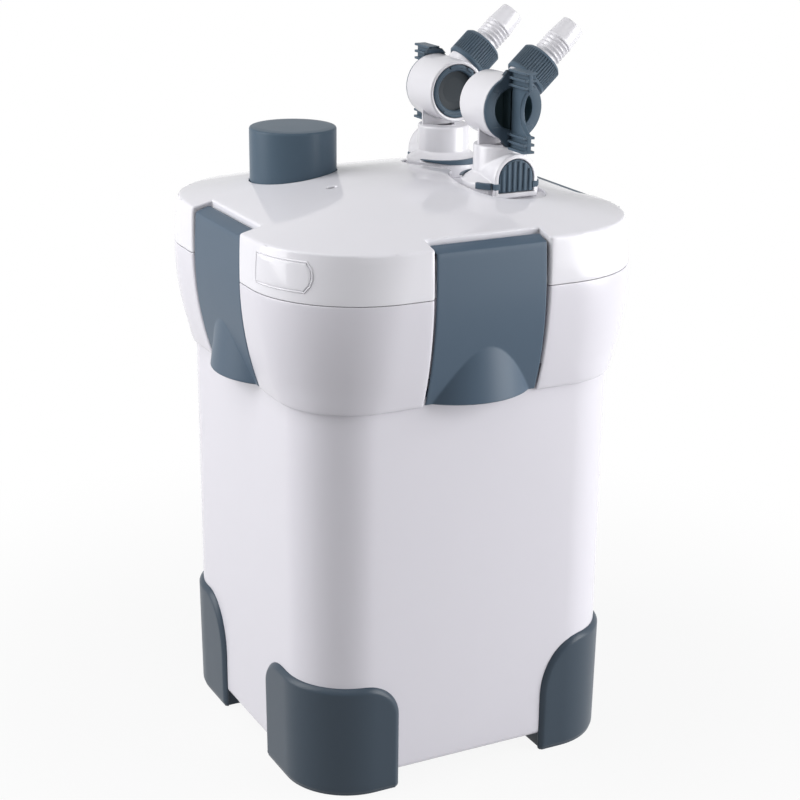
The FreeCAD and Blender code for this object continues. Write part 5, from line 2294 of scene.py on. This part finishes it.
    def body(self) -> Skin:
        """The white body: spigot, collar, drum, neck, barrel, stub and tab housing.

        Returns:
            Its skin.
        """
        skin = Skin()
        barrel = softened(
            [
                (self.seat, self.near + 0.3), (self.barrel_near, self.near),
                (self.barrel_far, self.back - 0.05), (self.bore, self.back - 0.05),
                (self.bore, 27.2), (self.seat, 27.2),
            ],
            [0.5, 1.5, 0.4, 0.3, 0.2, 0.2],
            steps=6,
        )
        skin.turned(barrel, self.faced, 112, loop=True)
        stub = softened([(8, 18), (13.2, 18), (13.2, 32.5), (8, 32.5)], 0.3, steps=2)
        skin.turned(stub, self.leaned, 64, loop=True)
        s, c = self.spigot, self.collar
        trunk = softened(
            [
                (8, 380), (s - 1, 380), (s, 382), (s, 384.4), (s - 1.7, 384.4), (s - 1.7, 387.2),
                (s, 387.2), (s, 391.4), (s - 1.7, 391.4), (s - 1.7, 394.2), (s, 394.2), (s, 402.5),
                (c, 402.5), (c, 413.2), (self.drum + 1.2, 418.0), (self.drum, 419.6),
                (self.drum, self.drum_top), (8, self.drum_top),
            ],
            [0.2] * 11 + [0.3, 0.5, 1.2, 1.5, 1.0, 1.3, 0.3],
            steps=5,
        )
        skin.turned(trunk, self.trimmed, 96, loop=True)
        for edges, near, far in (((-16.2, 16.2), 1.7, 3.7), ((-7.2, 13.0), 3.4, 12.5)):
            skin.slab(self.web(*edges), near, far, 0.45, self.neck)
        return self.housed(skin)

    def housed(self, skin: Skin) -> Skin:
        """Adds the housing of the latch tab and returns the skin.

        Args:
            skin: takes it.

        Returns:
            The skin itself.
        """
        house, face, inner = self.housing, self.tab_face, self.tab_half + 0.45
        rows = []
        for half, low, depth in (
            (18.8, 403.6, 44.0),
            (18.4, 403.6, 52.0),
            (house + 0.4, 403.6, 57.6),
            (house, 403.6, 60.5),
            (house, 403.6, face - 0.4),
            (house - 0.25, 403.9, face + 0.05),
            (house - 0.8, 404.5, face + 0.25),
            (inner + 0.5, 406.7, face + 0.25),
            (inner, self.tab_low - 0.5, face - 0.3),
            (inner, self.tab_low - 0.5, 57.9),
        ):
            outline = dee(half, low, self.tab_bow) - np.array((0, self.level))
            rows.append(self.faced(at_level(outline, depth)))
        return skin.rows(rows, caps=(True, True))

    def trimmed(self, points: Points) -> Points:
        """Moves points to the upright axis and flattens them behind the tab.

        Args:
            points: points round Z.

        Returns:
            The frame's points.
        """
        made = points + np.array((self.x, self.sign * self.y, 0))
        limit = self.y + self.collar_flat
        made[:, 1] = self.sign * np.minimum(self.sign * made[:, 1], limit)
        return made

    def neck(self, points: Points) -> Points:
        """Sets (across, level, back) points at the tap, back being along +Y.

        Args:
            points: the points.

        Returns:
            The frame's points.
        """
        return np.column_stack(
            (self.x + points[:, 0], self.sign * self.y + points[:, 2], points[:, 1])
        )

    def web(self, left: float, right: float) -> Points:
        """A web from the drum up into the barrel's wall, as (across, level).

        Args:
            left: its left edge.
            right: its right edge.

        Returns:
            The outline.
        """
        mid = (self.bore + self.barrel_near) / 2
        across = np.linspace(right, left, 15)
        top = [(a, self.level - math.sqrt(mid**2 - a**2)) for a in across]
        return np.array([(left, self.drum_top - 1), (right, self.drum_top - 1)] + top)

    def end_ring(self) -> Skin:
        """The bayonet ring that holds the plug, with its tabs over the barrel's rim.

        Returns:
            Its skin.
        """
        skin = Skin()
        profile = softened(
            [(14.4, 23.4), (15.4, 22.5), (18.5, 22.3), (18.5, 26.6), (14.4, 26.6)],
            [0.3, 0.3, 0.4, 0.2, 0.2],
            steps=3,
        )
        skin.turned(profile, self.faced, 96, loop=True)
        for start, end, far, proud in (
            (113, 206, 19.1, 21.5),
            (233, 326, 19.1, 21.5),
            (72, 109, 19.1, 21.2),
            (45, 62, 18.9, 21.5),
        ):
            skin.slab(sector(start, end, 16.9, far), proud, 23.0, 0.25, self.faced)
        return skin

    def plug_face(self) -> Skin:
        """The smooth, slightly dished face of the valve plug.

        Returns:
            Its skin.
        """
        profile = softened(
            [(0, 27.1), (9, 26.9), (14.6, 26.2), (15.4, 26.4), (15.4, 29.2), (0, 29.2)],
            [0, 6, 0.4, 0.4, 0.2, 0],
            closed=False,
            steps=5,
        )
        return Skin().turned(profile, self.faced, 80)

    def band(self, skin: Skin, turns: Sequence[float], lows: Sequence[float], high: float) -> None:
        """Adds a bent bar round the collar.

        Args:
            skin: takes the bar.
            turns: angles from outwards, in degrees, along the bar.
            lows: level of the lower edge at each angle.
            high: level of the upper edge.
        """
        rows = []
        for turn, low in zip(turns, lows):
            bend = math.radians(turn)
            out, across = math.cos(bend), math.sin(bend)
            row = [
                (r * across, z - self.level, self.y + r * out)
                for r, z in (
                    (25.6, low), (28.0, low), (28.3, low + 0.3),
                    (28.3, high - 0.3), (28.0, high), (25.6, high),
                )
            ]
            rows.append(self.faced(np.array(row)))
        skin.rows(rows, caps=(True, True))

    def ridges(self, kit: Assembly) -> Mesh:
        """Three ridges across each end of the wing, made with nodes.

        Args:
            kit: frame, paints and dressing.

        Returns:
            Their mesh.
        """
        tree = GeoTree(
            "wing_ridges", Count=3, First=16.9 * MM, Pitch=4.95 * MM, Wide=8.6 * MM,
            Thick=1.6 * MM, Near=58.0 * MM, Far=80.9 * MM,
        )
        g = tree.given
        size = tree.xyz(g["Wide"], g["Thick"], g["Far"] - g["Near"])
        middle = (g["Far"] + g["Near"]) * 0.5
        bar = tree.wire("GeometryNodeMeshCube", {}, {"Size": size})
        halves = []
        for way in (1.0, -1.0):
            line = tree.line(
                tree.xyz(0.0, g["First"] * way, middle), tree.xyz(0.0, g["Pitch"] * way, 0.0)
            )
            halves.append(tree.copies(line, bar))
        join = tree.wire("GeometryNodeJoinGeometry", {}, {0: halves})
        return tree.mesh(join, kit.paints.finish(Slot.CONTROL))

    def nut_ribs(self, kit: Assembly) -> Mesh:
        """Fine ribs round the nut, made with nodes.

        Args:
            kit: frame, paints and dressing.

        Returns:
            Their mesh.
        """
        tree = GeoTree(
            "nut_ribs", Ribs=self.ribs, Radius=(self.nut - 0.5) * MM, Thick=0.55 * MM,
            Near=(self.nut_near + 3.4) * MM, Far=(self.nut_far - 2.4) * MM,
        )
        g = tree.given
        rib = tree.wire(
            "GeometryNodeMeshCylinder",
            {},
            {"Vertices": 8, "Radius": g["Thick"], "Depth": g["Far"] - g["Near"]},
        )
        inputs = {"Vertices": g["Ribs"], "Radius": g["Radius"]}
        ring = tree.wire("GeometryNodeMeshCircle", {}, inputs)
        ring = tree.moved(ring, tree.xyz(0.0, 0.0, (g["Far"] + g["Near"]) * 0.5))
        return tree.mesh(tree.copies(ring, rib), kit.paints.finish(Slot.CONTROL))

    def nut_skin(self, kit: Assembly) -> Skin:
        """The nut: a turned body with bevelled ends and its ribs.

        Args:
            kit: frame, paints and dressing.

        Returns:
            Its skin.
        """
        r, near, far = self.nut - 0.6, self.nut_near, self.nut_far
        profile = softened(
            [
                (13.45, near), (r - 0.7, near), (r + 0.6, near + 1.3), (r + 0.6, near + 3.2),
                (r, near + 3.7), (r, far - 2.7), (r + 0.6, far - 2.2), (r + 0.6, far - 1.9),
                (r - 1.2, far), (10.6, far), (10.6, 38), (13.45, 38),
            ],
            [0.2, 0.3, 0.3, 0.2, 0.2, 0.1, 0.1, 0.2, 0.4, 0.3, 0.1, 0.1],
            steps=4,
        )
        skin = Skin().turned(profile, self.leaned, 96, loop=True)
        return skin.take(self.nut_ribs(kit), self.leaned)

    def tail(self) -> Skin:
        """The hose tail: a collar, four rings and a long cone.

        Returns:
            Its skin.
        """
        points = [(6.9, 34.3), (13.1, 34.3), (13.1, 37.7), (9.6, 37.7), (9.5, 47.0)]
        soft = [0.2, 0.3, 0.3, 0.3, 0.3]
        for n in range(4):
            start = 47.4 + 3.1 * n
            points += [(8.75, start), (10.15, start + 1.7), (10.15, start + 2.5)]
            soft += [0.15, 0.3, 0.25]
        points += [(8.9, 59.8), (10.2, 60.6), (10.2, 61.6), (9.9, 62.4), (8.8, 76), (7.2, 76)]
        soft += [0.3, 0.4, 0.4, 1.0, 0.35, 0.25]
        profile = softened(points, soft, steps=4)
        return Skin().turned(profile, self.leaned, 80, loop=True)

    def latch(self, kit: Assembly) -> Skin:
        """The thumb tab with its ribs, made with nodes, and its bars round the collar.

        Args:
            kit: frame, paints and dressing.

        Returns:
            Its skin.
        """
        skin = Skin()
        tab = dee(self.tab_half, self.tab_low, self.tab_bow)
        tab[:, 1] -= self.level
        skin.slab(tab, 61.4, self.tab_face, 0.5, self.faced)
        for way in (1, -1):
            last = 46 if way * self.sign < 0 else 66
            turns = [way * t for t in np.linspace(42, last, 6)]
            if way > 0 or self.side is Side.FRONT:
                self.band(skin, turns, [409.9] * 6, 414.3)
            neck = np.array([(13.0, -54.6), (17.3, -54.6), (17.3, -50.2), (13.0, -50.2)])
            neck = softened((neck * np.array((way, 1)))[::way], 0.5, steps=3)
            skin.slab(neck, 60.0, 65.7, 0.4, self.faced)
        turns = np.linspace(244, 120, 24)
        lows = np.interp(turns, (120, 150, 200, 244), (410.9, 411.0, 412.4, 414.9))
        self.band(skin, turns, lows, 415.4)
        return skin.take(self.tab_ribs(kit), self.faced)

    def tab_ribs(self, kit: Assembly) -> Mesh:
        """Upright ribs on the thumb tab, cut by its round top, made with nodes.

        Args:
            kit: frame, paints and dressing.

        Returns:
            Their mesh.
        """
        tree = GeoTree(
            "tab_ribs", Count=6, Pitch=4.25 * MM, Thick=1.35 * MM,
            Low=(self.tab_low + 0.6 - self.level) * MM, Middle=(self.tab_bow - self.level) * MM,
            Arch=(self.tab_half - 0.5) * MM, Depth=(self.tab_face - 0.3) * MM,
        )
        g = tree.given
        span = g["Pitch"] * (g["Count"] - 1.0)
        line = tree.line(tree.xyz(span * -0.5, g["Low"], g["Depth"]), tree.xyz(g["Pitch"]))
        inputs = {"Vertices": 16, "Radius": g["Thick"], "Depth": 1.0}
        rib = tree.wire("GeometryNodeMeshCylinder", {}, inputs)
        upright = tree.wire("FunctionNodeEulerToRotation", {}, {0: (math.pi / 2, 0, 0)})
        rib = tree.moved(rib, tree.xyz(0.0, 0.5, 0.0), Rotation=upright)
        place = tree.node("GeometryNodeInputPosition")
        x = tree.wire("ShaderNodeSeparateXYZ", {}, {0: place})
        rise = (g["Arch"] * g["Arch"] - x * x).math("SQRT")
        tall = g["Middle"] - g["Low"] + rise - 0.6 * MM
        ribs = tree.copies(line, rib, Scale=tree.xyz(1.0, tall, 1.0))
        return tree.mesh(ribs, kit.paints.finish(Slot.CONTROL))

    def build(self, kit: Assembly) -> None:
        """Makes the tap's visible pieces.

        Args:
            kit: frame, paints and dressing.
        """
        s = self.side.value
        knob = self.knob(kit).piece(f"{s}_knob", 35)
        kit.dress(knob, Slot.CONTROL, f"{s}_tap_knob")
        # the cup and the wing's flanks get painted shade
        self.paint_cup_shade(knob, kit.paints.extra("tap_blue_cup_shade", Paintbox.CUP_SHADE))
        for skin, name, angle, slot, node in (
            (self.nut_skin(kit), "nut", 40, Slot.CONTROL, "hose_nut"),
            (self.tail(), "tail", 40, Slot.TAP, "hose_barb"),
            (self.body(), "body", 35, Slot.TAP, "tap_body"),
            (self.end_ring(), "end_ring", 35, Slot.CONTROL, "tap_end_ring"),
        ):
            kit.dress(skin.piece(f"{s}_{name}", angle), slot, f"{s}_{node}")
        plug = smooth_copy(f"{s}_tap_plug", f"{s}_plug", kit.frame)
        plug = joined(f"{s}_plug", plug, self.plug_face().piece(f"{s}_plug_face", 35))
        shade(plug.data, 35)
        kit.dress(plug, Slot.INNER, f"{s}_tap_plug")
        plug.data.materials[0] = kit.paints.extra("plug_blue", Paintbox.PLUG)
        foot = self.sign * self.spring_foot
        kit.shortened(f"{s}_latch_spring", f"{s}_spring", 1, foot, self.squash)
        tab = self.latch(kit).piece(f"{s}_latch_tab", 35)
        kit.dress(tab, Slot.CONTROL, f"{s}_tap_latch")


class Inner:
    """The CAD nodes that show as they are, with their finishes."""

    def build(self, kit: Assembly) -> None:
        """Paints every CAD node by its slot in the record.

        Args:
            kit: frame, paints and dressing.
        """
        slots = {
            part["node"]: Slot(part["material_slot"])
            for part in kit.frame["record"]["subparts"]
        }
        for name, thing in kit.frame["nodes"].items():
            if name not in slots:
                LOG.info("no slot for %s", name)
                continue
            finish = kit.paints.finish(slots[name])
            if not thing.data.materials:
                thing.data.materials.append(finish)
            for place in thing.material_slots:
                place.material = finish


def main() -> None:
    """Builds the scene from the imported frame."""
    logging.basicConfig(level=logging.INFO, format="%(message)s")
    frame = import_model()
    bpy.context.scene.view_settings.view_transform = "Standard"
    kit = Assembly(frame, Paintbox())
    Studio().build()
    tub = Tub()
    tub.build(kit)
    Feet(tub).build(kit)
    form = HeadForm()
    head = Head(form)
    head.build(kit)
    Clips(form).build(kit)
    Primer(head.button).build(kit)
    for side in Side:
        Tap(side).build(kit)
    Inner().build(kit)


if __name__ == "__main__":
    main()
